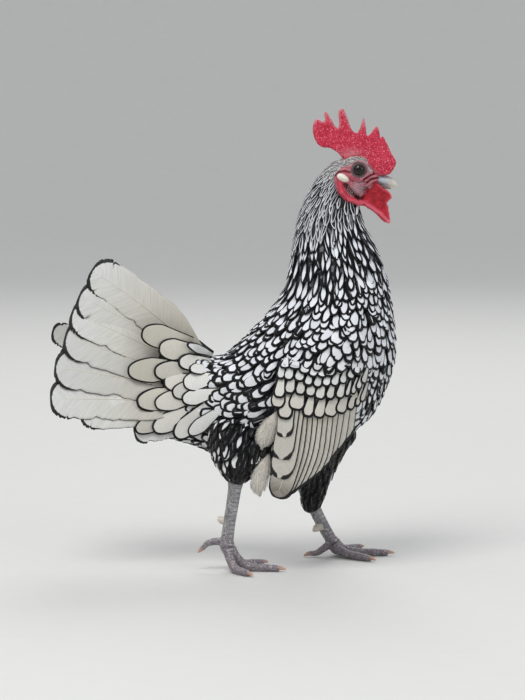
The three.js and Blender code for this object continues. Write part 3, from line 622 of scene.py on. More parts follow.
def coatOf(name, form, keep, seed, wide=0.6, sinkShare=0.15, stretch=1.0, guides=coatGuides,
           materials=(paleVane, inkVane), featherRows=7, edged=None, slot="laced_feather", **extra):
    # edged(p) gives the chance that a feather is dark in the middle with a pale edge, the other way about
    roots = scatter(form, lambda p: readGuides(p, guides)[:, 0], keep, seed, stretch)
    spacing, length, lace, point, black, middle, cream = readGuides(roots, guides).T
    chance = np.random.default_rng(seed + 1)
    pale = np.where(chance.random(len(roots)) < black, chance.random(len(roots)) * 0.35 * middle, 1)
    turned = chance.random(len(roots)) < (edged(roots) if edged else 0)
    feathers = {"root": roots, "length": length, "half": spacing * wide, "point": point, "cream": cream,
                "lace": np.where(turned, 0.95 * lace, lace), "pale": np.where(turned, 1, pale),
                "sink": length * sinkShare, "crown": spacing * 0.1, **extra}
    print(name, len(roots), "feathers")
    for part, group, pair in ((name, ~turned, materials), (name + "Edged", turned, materials[::-1])):
        if group.any():
            some = {key: value[group] if np.ndim(value) else value for key, value in feathers.items()}
            featherMesh(part, form, some, list(pair), seed + 2, featherRows, slot=slot)


def isEdged(p):
    return smoothStep(230, 256, p[:, 2] - 0.45 * (p[:, 0] - 72))


def isNeck(p):
    return p[:, 2] - 0.35 * (p[:, 0] - 75) > 206


def onFace(p):
    # the bare face and its fold, where no neck feather stands
    return (p[:, 0] > 78) & (p[:, 2] > np.interp(p[:, 0], [78, 80.4, 86.1, 94.6, 105.3, 112],
                                                 [281, 270.5, 264.5, 262, 260.5, 252.5]))


def underWing(p):
    # what the covert rows and quills of the folded wing hide, as seen from the side
    front = wingForward[0] * (p[:, 0] - 66) + wingForward[2] * (p[:, 2] - 120)
    low = p[:, 2] < np.interp(p[:, 0], [40, 50, 58, 68, 76, 84, 92, 99, 106],
                              [150, 152, 151, 151, 153, 156, 156, 148, 136])
    return low & (front > -28) & (front < 21) & (np.abs(p[:, 1]) > 25) & (p[:, 2] > 103)


def underTail(p):
    # what the tail's coverts hide
    return (p[:, 0] < -34) | ((p[:, 0] < -20) & (p[:, 2] > 98) & (p[:, 2] < 156))


coatOf("neckHackle", bodyForm, lambda p, n: (isNeck(p) & (p[:, 2] < 292) & ~onFace(p)).astype(float), 21,
       stretch=0.45, wide=0.54, sizeMess=0.12, mess=0.13, laceMess=0.2, edged=isEdged)
coatOf("trunkCoat", bodyForm, lambda p, n: (~isNeck(p) & ~underWing(p) & ~underTail(p)).astype(float), 31,
       stretch=1.5, wide=0.62, sizeMess=0.12, liftMess=0.25, mess=0.17, laceMess=0.2)


# ---- placed feathers: each from its root to its tip as (x, z), laid on what is under it from one side
def touch(form, side, x, z):
    # how far out the form is at (x, z), seen from one side, or None beside it
    at = form["tree"].ray_cast((x, side * 150, z), (0, -side, 0))[0]
    return None if at is None else at.y


def laySpine(form, side, root, tip, steps=12, stops=()):
    # a spine by way of the stops, and its normals and headings
    share = np.linspace(0, 1, steps)
    run = np.array(tip, float) - root
    across = np.array([-run[1], run[0]]) / np.hypot(*run)
    stops = np.array([root, *stops, tip], float)
    gone = np.concatenate([[0], np.cumsum(np.hypot(*np.diff(stops, axis=0).T))])
    flat = splineRows(stops, np.interp(share * gone[-1], gone, np.linspace(0, 1, len(stops))))
    depth = np.array([touch(form, side, x, z) for x, z in flat], float)
    known = ~np.isnan(depth)
    if not known.any():  # it stands along the ridge
        known[:], depth[:] = True, side * 2.0
    curve = np.polyfit(share[known], depth[known], min(3, known.sum() - 1))
    low, high = share[known].min(), share[known].max()
    y = np.polyval(curve, np.clip(share, low, high))
    slope = np.polyval(np.polyder(curve), high)
    y = y + np.where(share > high, (share - high) * slope * 0.5, 0)
    spine = np.stack([flat[:, 0], y, flat[:, 1]], 1)
    heading = unit(np.gradient(spine, axis=0))
    probe, tops = 4.0, []  # the lie across the feather, read a little to each side
    for way in (-1, 1):
        found = touch(form, side, *(flat[steps // 2] + way * probe * across))
        tops.append(y[steps // 2] if found is None else found)
    over = np.array([across[0], (tops[1] - tops[0]) / (2 * probe), across[1]])
    normal = unit(np.cross(heading, over[None]))
    normal *= np.sign(normal[:, 1:2]) * side
    return spine, normal, heading


def placedCoat(name, form, rows, materials, seed, featherRows=10, **usual):
    # rows: side, root, tip, half, lace, lift, cream
    laid = [laySpine(form, row["side"], row["root"], row["tip"]) for row in rows]
    ready = [np.stack(parts) for parts in zip(*laid)]
    keys = {key for row in rows for key in row} - {"side", "root", "tip"}
    feathers = {key: np.array([row[key] for row in rows]) for key in keys}
    feathers = {**usual, **feathers, "root": ready[0][:, 0], "mess": 0.05}
    print(name, len(rows), "feathers")
    return featherMesh(name, form, feathers, materials, seed, featherRows, ready)


# ---- quills: long vanes on a shaft
def quillMesh(name, quills, materials, seed, rows=46, columns=6):
    # quills: laid (spine, normals, headings), half, lean of the vane, shaft radius, ink at the tip and edges
    chance = np.random.default_rng(seed)
    acrossCount, shaftSides, roundFrom, roundOver = 2 * columns + 1, 6, 0.55, 0.45
    sheet, tubeCount = rows * acrossCount, rows * shaftSides
    # every quill is two sheets, the band between their rims, and the shaft's tube
    grid = np.arange(sheet).reshape(rows, acrossCount)
    upper = np.stack([grid[:-1, :-1], grid[:-1, 1:], grid[1:, 1:], grid[1:, :-1]], -1).reshape(-1, 4)
    rimLine = np.concatenate([grid[:, 0], grid[-1, 1:], grid[::-1, -1][1:], grid[0, ::-1][1:-1]])
    nextLine = np.roll(rimLine, -1)
    band = np.stack([rimLine, nextLine, nextLine + sheet, rimLine + sheet], -1)
    tubeFaces = gridFaces(shaftSides, rows, 2 * sheet)
    faces = np.concatenate([upper, upper[:, ::-1] + sheet, band, tubeFaces])
    slots = np.repeat([0, 1], [len(faces) - len(tubeFaces), len(tubeFaces)])
    share, shaftShare = np.linspace(0, 1, rows), np.linspace(0, 0.93, rows)
    turn = np.clip((share - roundFrom) / roundOver, 0, 1) * math.pi / 2
    column = np.linspace(-1, 1, acrossCount)
    column = (np.sign(column) * np.abs(column) ** 0.8)[None]
    out = np.abs(column)
    ring = turnOf(shaftSides)[..., None]
    made = []
    for number, quill in enumerate(quills):
        spine, normals, headings = quill["laid"]
        length = np.linalg.norm(np.diff(spine, axis=0), axis=1).sum()
        half, tipLong = quill["half"], quill.get("tipLong", 1.0)
        liftAt = lambda share: quill.get("lift", 0) * (0.35 + 0.65 * share) + quill.get("raise", 0)
        # outline: widens from the root, runs straight, ends round
        tipFrom = 1 - half * tipLong / length
        far = np.where(share < roundFrom, share / roundFrom * tipFrom, tipFrom + (1 - tipFrom) * np.sin(turn))
        wide = np.where(share < roundFrom, 0.3 + 0.7 * smoothStep(0, 0.42, far),
                        np.cos(turn) ** quill.get("point", 0.75))
        edges = []
        for _ in range(2):
            ragged = chance.normal(0, 0.018, rows)
            ragged = ragged + np.where(chance.random(rows) < 0.13, -0.12, 0) * (share > 0.35)
            ragged = ragged * quill.get("ragged", 1.0)
            ragged[-1] = 0
            edges.append(np.maximum(wide * half * (1 + ragged), 0.02)[:, None])
        edge = np.where(column < 0, *edges)
        across = np.sign(column) * out * edge
        slant = half * 0.55 * wide
        along = np.minimum(far[:, None] * length - slant[:, None] * (1 - out**1.3), length)
        shareAlong = along / length
        normal = unit(readAt(normals, shareAlong))
        side = np.cross(normal, unit(readAt(headings, shareAlong)))
        ripple = chance.normal(0, 0.12, (rows, 1)) * out * smoothStep(0.2, 1, shareAlong)
        height = liftAt(shareAlong) - quill["camber"] * out**2 + across * math.tan(quill["lean"]) + ripple
        top = readAt(spine, shareAlong) + side * across[..., None] + normal * height[..., None]
        if "rear" in quill:  # the folded wing's rear edge, which no vane passes
            rearX = np.interp(top[..., 2], *quill["rear"])
            eased = rearX + 1.5 * np.exp((top[..., 0] - rearX - 1.5) / 4)
            top[..., 0] = np.where(top[..., 0] < rearX + 1.5, eased, top[..., 0])
        bottom = top - normal * quill["thick"]
        # lacing: how far each point is inside the outline, less the width of the ink there
        inside = edge * (1 - out)
        fromRound = half - np.hypot(across, np.maximum(along - (length - half * tipLong), 0) / tipLong)
        rim = np.where(along > length - half, np.minimum(fromRound, inside + 0.4), inside)
        nearTip = lambda far, near: smoothStep(1 - far * half / length, 1 - near * half / length, shareAlong)
        grown = nearTip(1.5, 0.5)
        if "tipFocus" in quill:  # the mark is heaviest beside the shaft and thins round the tip
            grown = nearTip(2.2, 0.7) * smoothStep(0.95, 0.2, np.abs(across) / half)
        gap = quill.get("gap", 0) * np.exp(-(across / (half * 0.14)) ** 2)
        gap = gap * smoothStep(0.85, 0.93, shareAlong)
        edgeInk = np.where(column > 0, *quill["edgeInk"][::-1])
        ink = rim - (edgeInk + (quill["tipInk"] - edgeInk) * grown - gap * 3)
        shaftNormal = unit(readAt(normals, shaftShare))
        shaftSide = np.cross(shaftNormal, unit(readAt(headings, shaftShare)))
        radius = quill["shaft"] * (1 - shaftShare) ** 0.7 + 0.1
        middle = readAt(spine, shaftShare) + shaftNormal * (liftAt(shaftShare) + radius * 0.15)[:, None]
        tube = (middle[None] + np.cos(ring) * shaftSide[None] * radius[None, :, None]
                + np.sin(ring) * shaftNormal[None] * (radius * 0.8)[None, :, None])
        sheetMap = np.stack([across, along], -1).reshape(-1, 2)
        shaftMap = np.stack([np.zeros(tubeCount), np.tile(shaftShare * length, shaftSides)], -1)
        vane = np.concatenate([sheetMap, sheetMap, shaftMap])
        # the quill's own place on the bake map: upper sheet, lower sheet and shaft side by side
        high = 1 / math.ceil(len(quills) / 4)
        corner = np.array([0.005 + number % 4 * 0.25, (number // 4 + 0.03) * high])
        local = np.stack([np.clip(vane[:, 0] / (2.3 * half) + 0.5, 0, 1), vane[:, 1] / length], -1)
        bake = corner + local * (0.1, high * 0.94)
        bake[sheet:2 * sheet, 0] += 0.115
        bake[2 * sheet:, 0] = corner[0] + 0.235
        made.append({
            "points": np.concatenate([part.reshape(-1, 3) for part in (top, bottom, tube)]),
            "vane": vane[faces.ravel()], "OFBake": bake[faces.ravel()]})
        for key, onVane, onShaft in (
                ("tone", chance.random(), None), ("cream", quill["cream"], None),
                ("fray", quill.get("fray", 1.6), None),
                ("stain", quill.get("stain", 0) * nearTip(2.2, 0.5), 0), ("ink", ink, 5.0),
                ("along", shareAlong, np.tile(shaftShare, shaftSides))):
            onVane = np.broadcast_to(onVane, across.shape).ravel()
            onShaft = np.broadcast_to(onVane[0] if onShaft is None else onShaft, tubeCount)
            made[-1][key] = np.concatenate([onVane, onVane, onShaft])
    whole = {key: np.concatenate([one[key] for one in made]) for key in made[0]}
    starts = np.arange(len(quills))[:, None, None] * (2 * sheet + tubeCount)
    piece = makeMesh(name, whole.pop("points"), (faces + starts).reshape(-1, 4), materials,
                     np.tile(slots, len(quills)), {key: whole.pop(key) for key in ("OFBake", "vane")}, whole)
    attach(piece, "root")
    print(name, len(quills), "quills")
    return piece


def makeQuillVane(name, pale, warm, fresh):
    # Flight and tail quills: silver-cream vane with slanted barb streaks, brown where it is stained near
    # the root, fresher to its tip, a ragged black edge where the pigment reaches the margin
    material, tree, read = newMaterial(name, "tone cream along ink fray stain", Roughness=0.55, IOR=1.55,
                                       Specular_IOR_Level=0.35, Sheen_Weight=0.1, Sheen_Roughness=0.4)
    streaks = barbStreaks(tree, read["tone"], 0.55, 9.0)
    whiter = addNode(tree, "MapRange", {0: read["along"], 1: 0.55, 2: 0.95, 3: 1.0, 4: 1.0 - fresh})
    warmth = addNode(tree, "Math", {0: read["cream"], 1: whiter}, operation="MULTIPLY")
    hue = addNode(tree, "Mix", {0: warmth, 6: pale, 7: warm}, **rgb)
    vane = ribbedTone(tree, hue, read["tone"], streaks, (0.9, 1.04), (0.25, 0.75, 0.8, 1.06))
    root = addNode(tree, "MapRange", {0: read["along"], 1: 0.15, 2: 0.6, 3: 0.5, 4: 0.0})
    smoky = addNode(tree, "Math", {0: read["stain"], 1: streaks}, operation="MULTIPLY")
    rough = addNode(tree, "Math", {0: streaks, 1: -0.5}, operation="ADD")
    frayed = addNode(tree, "Math", {0: rough, 1: read["fray"], 2: read["ink"]}, operation="MULTIPLY_ADD")
    laced = addNode(tree, "MapRange", {0: frayed, 1: -0.12, 2: 0.12, 3: 1.0, 4: 0.0})
    for share, colour in ((root, "#a79a86"), (smoky, "#5f5148"), (laced, "#151318")):
        vane = addNode(tree, "Mix", {0: share, 6: vane, 7: colour}, **rgb)
    return finishMaterial(material, vane, streaks, rise=0.3)


def makeShaft(name, pale, brown):
    # Shaft: smooth keratin, ivory with a brownish root
    material, tree, read = newMaterial(name, "along", Roughness=0.4, IOR=1.55)
    blend = addNode(tree, "MapRange", {0: read["along"], 1: 0.1, 2: 0.7})
    return finishMaterial(material, addNode(tree, "Mix", {0: blend, 6: brown, 7: pale}, **rgb))


quillVane = makeQuillVane("quillVane", "#dcdcd9", "#cac5b8", 0.85)
wingVane = makeQuillVane("wingVane", "#d2d2cf", "#cbc6b9", 0.1)
quillShaft = makeShaft("quillShaft", "#dad5c8", "#b0a08a")

# ---- tail
tail = {
    "quills": [  # tip (x, z), half width, how far the quill bows over
        (-94.5, 212.6, 14, 7), (-103.4, 194.6, 14.5, 5), (-108.4, 183, 14.5, 4), (-113, 166, 15, 3),
        (-119.8, 145.5, 15, 2), (-122.6, 123.5, 15, 1.5), (-101.5, 112.6, 11.5, 1), (-63.5, 97.5, 8.5, 0),
    ],
    "peeping": (-124.5, 166.5, 10, 2),  # one of the left half shows past the right half
    "rootX": -12, "rootTop": 146, "rootBottom": 107,
    "ridgeOut": 2.4, "eavesOut": 9, "ridgeSplay": 1.5, "eavesSplay": 15, "steepest": 43, "lowest": -12,
    "lean": 0.075, "edgeInk": (-0.6, 0.3),  # width of ink along the two edges of a right quill
    "vane": {"shaft": 0.5, "camber": 0.5, "thick": 0.4, "point": 0.62, "tipLong": 0.9},
}


def splayTail(flat, side):
    # flat (x, z) places in the fan, splayed from the ridge to the eaves
    middle = (tail["rootTop"] + tail["rootBottom"]) / 2
    reach = np.hypot(flat[..., 0] - tail["rootX"], flat[..., 1] - middle)
    rise = np.degrees(np.arctan2(flat[..., 1] - middle, tail["rootX"] - flat[..., 0]))
    low = np.clip((tail["steepest"] - rise) / (tail["steepest"] - tail["lowest"]), 0, 1)
    splay = np.radians(tail["ridgeSplay"] + (tail["eavesSplay"] - tail["ridgeSplay"]) * low)
    out = tail["ridgeOut"] + (tail["eavesOut"] - tail["ridgeOut"]) * low
    return side * (out + reach * np.sin(splay))


def tailQuills(side):
    laid, share = [], np.linspace(0, 1, 24)
    tips = list(enumerate(tail["quills"])) + ([(3.5, tail["peeping"])] if side > 0 else [])
    for k, (tipX, tipZ, half, bow) in tips:
        rootZ = tail["rootTop"] + (tail["rootBottom"] - tail["rootTop"]) * k / (len(tail["quills"]) - 1)
        run = np.array([tipX - tail["rootX"], tipZ - rootZ])
        above = np.array([run[1], -run[0]]) / np.hypot(*run)
        flat = np.array([tail["rootX"], rootZ]) + share[:, None] * run
        flat = flat + (share * (1 - share) * bow * 2)[:, None] * above
        turn = math.atan2(run[1], -run[0])
        across = np.array([math.sin(turn), math.cos(turn)])
        spine = np.stack([flat[:, 0], splayTail(flat, side), flat[:, 1]], 1)
        heading = unit(np.gradient(spine, axis=0))
        reach = across * half * 0.8
        fall = (splayTail(flat + reach, side) - splayTail(flat - reach, side)) / (1.6 * half)
        normal = unit(np.cross(heading, np.stack([across[0] + 0 * fall, fall, across[1] + 0 * fall], 1)))
        normal *= np.sign(normal[:, 1:2]) * side
        laid.append({
            "laid": (spine, normal, heading), "half": half, "lean": -side * tail["lean"],
            "raise": 0.35 - 0.09 * k, "cream": 0.75 - 0.04 * k, "tipInk": 1.6 if k < 6 else 1.4,
            "edgeInk": tail["edgeInk"][::-side], **tail["vane"],
        })
    return laid


quillMesh("tailQuillsRight", tailQuills(-1), [quillVane, quillShaft], 51)
quillMesh("tailQuillsLeft", tailQuills(1), [quillVane, quillShaft], 52)


def rearForm(side):
    # a sheet draped over the rump and the fan from one side, for the coverts to lie on
    body = gridForm(ringGrid(bodyRings, 80, 160, 0.8))
    x, z = np.meshgrid(np.linspace(30, -112, 66), np.linspace(78, 224, 68))
    y = np.abs(splayTail(np.stack([x, z], -1), side)) + 0.9
    y = np.where(x < -14, y, 0)
    for i in range(x.shape[0]):
        for j in range(x.shape[1]):
            at = touch(body, side, x[i, j], z[i, j])
            if at is not None:
                y[i, j] = max(y[i, j], at * side)
    for _ in range(14):
        y = (np.roll(y, 1, 0) + np.roll(y, -1, 0) + np.roll(y, 1, 1) + np.roll(y, -1, 1) + 2 * y) / 6
    return gridForm(np.stack([x, side * y, z], -1))


# Large laced coverts over the roots of the quills: root (x, z), tip (x, z), half width
tailCoverts = [
    ((-12, 151), (-42, 153.5), 9.0), ((-10, 137), (-41, 132), 9.0), ((-10, 122), (-41, 111.5), 9.0),
    ((-22, 161), (-58.8, 169.2), 8.8), ((-20, 143), (-68.6, 141.8), 8.8), ((-18, 126), (-62.5, 119), 8.6),
    ((-24, 116), (-63.2, 99.7), 7.0), ((-16, 155), (-46.9, 157.8), 7.8), ((-14, 142), (-50, 141), 8.0),
    ((-13, 134), (-43.0, 133.2), 7.4), ((-12, 128), (-49.4, 117), 8.2), ((-18, 116), (-51, 99.5), 7.8),
    ((-9, 133), (-36.4, 125.3), 7.0), ((-9, 148), (-32.8, 147), 6.8), ((-12, 118), (-34.7, 93.5), 7.0),
    ((-5, 138), (-28.4, 132.4), 6.4), ((-4, 128), (-29.3, 121), 6.4), ((-3, 146), (-24, 141.5), 5.8),
    ((-2, 116), (-24, 97), 6.0), ((-8, 152), (-26, 160), 3.6),
]
for side, word in ((-1, "Right"), (1, "Left")):
    rows = [{"side": side, "root": root, "tip": tip, "half": half, "lace": 0.85,
             "lift": 1.4 + 0.11 * k if k > 2 else 0.5, "cream": 1.15 - 0.035 * k,
             "point": 1.3 if k < 3 else 0.8}
            for k, (root, tip, half) in enumerate(tailCoverts)]
    placedCoat(f"tailCoverts{word}", rearForm(side), rows, [paleVane, inkVane], 61 + side, featherRows=16,
               widest=0.62, sink=3.6, crown=0.8, tipLace=1.75, base=0.5, clean=0.6)

# ---- wings
# Flight quills from the top of the fold down: tip (x, z), half width, then where the front edge runs, as x
# at the heights 110.7 and 87.1
secondaries = [
    ((43.7, 98.4), 7.6, 50.6, None), ((41.0, 82.6), 8.6, 53.5, 50.2), ((39.4, 68.8), 9.0, 56.6, 53.2),
    ((37.9, 54.2), 9.0, 59.8, 56.5), ((40.4, 54.4), 8.0, 63.2, 59.8), ((44.6, 57.6), 8.0, 66.7, 63.0),
    ((49.0, 61.0), 8.0, 70.2, 66.8), ((53.8, 64.8), 8.0, 73.7, 70.5), ((59.2, 69.0), 8.0, 77.2, 74.0),
    ((65.4, 74.6), 8.0, 80.8, 77.2), ((71.6, 80.8), 8.0, 84.8, None), ((78.2, 87.4), 8.0, 89, None),
    ((84.6, 94.4), 8.0, 93.6, None),
]
wingLook = {
    "shaft": 0.2, "camber": 0.4, "thick": 0.25, "cream": 0.85, "point": 0.6, "ragged": 0.15, "fray": 0.45,
    "tipFocus": True,
    "rear": ((53, 55.2, 61.1, 68.2, 81.2, 93, 104.8, 125),  # heights, and x of the fold's edge there
             (34.5, 33, 30.6, 29.6, 32.3, 34.6, 37.2, 39)),
}
wingCovertRows = [  # tips along each row from the rear to the front: (x, z)
    {"length": 21, "lift": 3.8, "cream": 0.85, "sink": 2.2, "point": 0.64,
     "tips": [(38.6, 118.6), (43.2, 110.9), (51, 117.4), (58.8, 112.6), (66.2, 112), (73.8, 113),
              (81.2, 115), (87.8, 117.2), (92.6, 119.2), (96.2, 122.4)]},
    {"length": 17, "lift": 4.2, "cream": 0.7, "sink": 2.2, "point": 0.64,
     "tips": [(40, 125.6), (46.9, 128.5), (53.9, 128), (60.6, 127), (67, 125.2), (73.7, 125.2),
              (80.4, 126), (85.4, 127), (89.5, 128.6), (93.2, 131.4), (97, 135.6)]},
    {"length": 15, "lift": 4.5, "cream": 0.4, "sink": 3.6, "point": 0.75,
     "tips": [(40.6, 138.6), (46.3, 138), (53.3, 137.4), (59.2, 134.2), (65.4, 133.4), (71.4, 134.4),
              (77, 134.8), (82.6, 136.4), (87.7, 139.2), (92, 142.6)]},
    {"length": 14, "lift": 4.7, "cream": 0.25, "sink": 5.2, "point": 0.8, "short": 0.4,
     "tips": [(43.4, 146), (50.4, 145.6), (56.8, 142.8), (62.6, 141), (68.4, 140.4), (74.4, 142),
              (80.4, 144.4), (86, 147.6)]},
]


for side, word in ((-1, "Right"), (1, "Left")):
    base = wingForm(side, 3.8, -4)
    laid = []
    for k, (tip, half, upper, lower) in enumerate(secondaries):
        stops = [(upper - half + 0.13 * 24, 134.7), (upper - half, 110.7)]  # the upper 24 mm lean by 0.13
        if lower:
            stops.append((lower - half, 87.1))
        spine = laySpine(base, side, stops[0] + np.array([2.0, 10]), tip, 24, stops)
        front = k / (len(secondaries) - 1)
        laid.append({
            "laid": spine, "half": half, "lift": 2.6 - 0.36 * min(k, 5) - 0.02 * k, "lean": -side * 0.085,
            "tipInk": 1.8 if k < 3 else 0.8, "edgeInk": (0.65, 0.9 - 0.3 * front)[::-side],
            "gap": 1.3 if k < 3 else 0.0, "tipLong": 1.5 if k < 4 else 2.2, "stain": 1.3 if k == 3 else 0,
            **wingLook,
        })
    quillMesh(f"wingQuills{word}", laid, [wingVane, quillShaft], 71 + side)
    rows = []
    for line in wingCovertRows:
        tips = np.array(line["tips"])
        gaps = np.hypot(*np.diff(tips, axis=0).T)
        gaps = (np.concatenate([gaps[:1], gaps]) + np.concatenate([gaps, gaps[-1:]])) / 2
        for k, (tip, gap) in enumerate(zip(tips, gaps)):
            front = k / (len(tips) - 1)
            long = line["length"] * (1 - 0.35 * front) * (1 - line.get("short", 0) * (k < 2))
            rows.append({"side": side, "root": tip + np.array([0.12 + 0.3 * front, 0.96]) * long, "tip": tip,
                         "half": 0.62 * gap, "lace": 1.0 + 0.03 * gap, "lift": line["lift"] - 1.9 * front,
                         **{key: line[key] for key in ("cream", "sink", "point")}})
    placedCoat(f"wingCoverts{word}", base, rows, [paleVane, inkVane], 81 + side, featherRows=13, widest=0.7,
               crown=0.4, tipLace=1.35, base=0.6, clean=0.5)
    shadeCore = wingGrid(side, 72, 60, 5.4, 6).reshape(-1, 3)  # black, as painted shade in the gaps between the coverts; only where coverts hide it: the quills need none
    quads = gridFaces(72, 60)
    quads = quads[shadeCore[quads][..., 2].mean(1) > 108]
    piece = makeMesh(f"wingShadeCore{word}", shadeCore, quads, [inkVane], uvs={"vane": np.zeros((quads.size, 2))})
    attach(piece, "root")
    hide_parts(*(f"wing_{part}_{word.lower()}" for part in ("coverts", "secondaries", "primaries")))

# ---- thighs
thighGuides = np.array([
    (4, 88, 4.8, 12, 1.5, 0.8, 0.5, 0.0, 0.4), (20, 84, 4.8, 12, 1.5, 0.8, 0.62, 0.0, 0.4),
    (10, 70, 4.0, 10, 1.4, 1.0, 0.86, 0.0, 0.2), (75, 80, 4.8, 12, 1.5, 0.8, 0.95, 0.0, 0.4),
    (66, 40, 3.6, 9, 1.3, 1.0, 1.0, 0.0, 0.2),
])
for side, word in ((-1, "Right"), (1, "Left")):
    form = gridForm(limbGrid(thighRows[side], 48, 60))
    coatOf(f"thighCoat{word}", form, lambda p, n: (p[:, 2] > 34).astype(float), 101 + side,
           guides=thighGuides, stretch=0.8, widest=0.4, sizeMess=0.14, mess=0.2, liftMess=0.3,
           slot="dark_feather")

# ---- down between wing and thigh
def makeDown(name, pale, shadow):
    # Down: loose cream barbs with no hooks, soft and matt, in a painted shadow colour towards their roots and
    # paler to their ends, as painted light passing through them
    material, tree, read = newMaterial(name, "tone shade", Roughness=0.8, IOR=1.5, Sheen_Weight=0.3,
                                       Sheen_Roughness=0.6, Specular_IOR_Level=0.2)
    both = addNode(tree, "Math", {0: read["tone"], 1: 0.35, 2: read["shade"]}, operation="MULTIPLY_ADD")
    blend = addNode(tree, "MapRange", {0: both, 1: 0.15, 2: 0.9})
    return finishMaterial(material, addNode(tree, "Mix", {0: blend, 6: shadow, 7: pale}, **rgb))


downBarb = makeDown("creamDown", "#ece8e0", "#c5beb3")
downRows = {  # the strip along the wing's rear edge, and the lobe below it
    "strip": [(40, -40, 119, 0, 0), (36.5, -41.5, 111, 4.5, 5.5), (31.5, -40.5, 102, 5.5, 8),
              (28, -39.5, 94.5, 5, 7), (27, -38.5, 88, 0, 0)],
    "lobe": [(33, -33, 88, 0, 0), (29.5, -37, 78, 5.5, 6), (25.5, -38, 67, 6.5, 7.5), (25, -38, 60, 5.5, 6),
             (26, -37, 54.5, 0, 0)],
}
downGuides = np.array([(30, 80, 0.9, 7.0, 0.0, 1.3, 0, 1.0, 1.0)])
for part, rows in downRows.items():  # the left flank shows none
    # a sheet under the down, all in the down's painted shadow colour
    under = limbGrid(rows, 32, 30, -1.9)
    piece = makeMesh(f"downUnder{part.capitalize()}", under.reshape(-1, 3), gridFaces(32, 30), [downBarb],
                     uvs={"vane": np.zeros((32 * 29 * 4, 2))}, values={"tone": np.full(960, 0.3)})
    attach(piece, "root")
    form = gridForm(limbGrid(rows, 40, 40, -1.6))
    coatOf(f"down{part.capitalize()}", form, lambda p, n: np.ones(len(p)), 141, guides=downGuides,
           materials=(downBarb, downBarb), stretch=0.42, wide=0.26, mess=0.33, liftMess=0.6, lift=0.4,
           sizeMess=0.25, sinkShare=0.16, widest=0.3, crown=0.1, tipDrop=-0.5)

# ---- head: one skin over skull, face, comb, wattles and earlobes, built as a distance field
def smoothUnion(a, b, k):
    h = np.clip(0.5 + 0.5 * (b - a) / k, 0, 1)
    return b * (1 - h) + a * h - k * h * (1 - h)


def smoothCut(a, b, k):
    return -smoothUnion(-a, b, k)


def egg(xs, ys, zs, at, radii, turn=0.0):
    # an ellipsoid, turned in the side view
    x, z = xs - at[0], zs - at[2]
    along, rise = x * math.cos(turn) - z * math.sin(turn), x * math.sin(turn) + z * math.cos(turn)
    k = np.sqrt((along / radii[0]) ** 2 + ((ys - at[1]) / radii[1]) ** 2 + (rise / radii[2]) ** 2)
    return (k - 1) * min(radii)


def tubeField(xs, ys, zs, places, radii):
    # a tube through the places, its radius running between the radii
    best = np.full(np.broadcast_shapes(xs.shape, ys.shape, zs.shape), 99.0, np.float32)
    sizes = np.interp(np.linspace(0, 1, len(places)), np.linspace(0, 1, len(radii)), radii)
    for (ax, ay, az), end, size, nextSize in zip(places[:-1], places[1:], sizes[:-1], sizes[1:]):
        run = np.array(end, float) - (ax, ay, az)
        t = np.clip(((xs - ax) * run[0] + (ys - ay) * run[1] + (zs - az) * run[2]) / (run @ run), 0, 1)
        gone = np.sqrt((xs - ax - t * run[0]) ** 2 + (ys - ay - t * run[1]) ** 2 + (zs - az - t * run[2]) ** 2)
        best = np.minimum(best, gone - size - (nextSize - size) * t)
    return best


def outlineField(outline, xs, zs, fine=4):
    # signed distance to a smooth closed outline in side view
    count = len(outline)
    wrapped = np.array([outline[-1], *outline, outline[0], outline[1]], float)
    places = splineRows(wrapped, (np.arange(count * fine) / fine + 1) / (count + 2))
    best = np.full(np.broadcast_shapes(xs.shape, zs.shape), 1e9)
    inside = np.zeros(best.shape, bool)
    for (ax, az), (bx, bz) in zip(places, np.roll(places, -1, 0)):
        ex, ez = bx - ax, bz - az
        t = np.clip(((xs - ax) * ex + (zs - az) * ez) / (ex**2 + ez**2), 0, 1)
        best = np.minimum(best, (xs - ax - t * ex) ** 2 + (zs - az - t * ez) ** 2)
        if abs(ez) > 1e-9:
            inside ^= ((az > zs) != (bz > zs)) & (xs < ex * (zs - az) / ez + ax)
    return np.where(inside, -1, 1) * np.sqrt(best)


def slab(flat, across, half, soft):
    # an outline given a half thickness, with soft edges
    a, b = flat + soft, np.abs(across) - half + soft
    return np.minimum(np.maximum(a, b), 0) + np.sqrt(np.maximum(a, 0) ** 2 + np.maximum(b, 0) ** 2) - soft


combOutline = [  # from the beak up over the points to the nape and back along the crown
    (112.5, 279.9), (118, 281), (121.2, 285.4), (122.6, 289.3), (121.2, 292.5), (118.8, 296.5), (117.2, 300.4),
    (115.2, 304.3), (113.2, 307.9), (111.5, 306.3), (110.6, 311.4), (109, 315), (106.7, 312.6), (104.1, 309.1),
    (101.7, 308.4), (101.1, 313.8), (99.7, 320.9), (98.1, 316.6), (95.8, 311), (93.8, 310.3), (91, 312.6),
    (88.2, 320.1), (85.1, 327.2), (82.9, 326.8), (81.5, 324.4), (81.9, 318.5), (81.7, 313.8), (79.2, 315),
    (76, 320.9), (72.8, 325.2), (71.4, 323.7), (72, 319.3), (69.7, 318.5), (66.1, 320.1), (63.5, 315.8),
    (63.8, 309.1), (66.5, 302.8), (70.5, 300), (75.3, 299.6), (80.8, 296.5), (84.8, 292.5), (92.7, 289.5),
    (100.6, 285.7), (105.4, 281.6), (108.5, 279.6),
]
wattleOutline = [
    (103.5, 275.4), (108.3, 275.6), (113, 271.5), (117.8, 268.4), (119.5, 264.4), (116.2, 261.1), (116.9, 258.1),
    (118, 251), (118, 246.7), (113.1, 248), (106.8, 254.2), (100.4, 258.9), (97.7, 262.4), (99.8, 266.8),
    (101, 271.5),
]
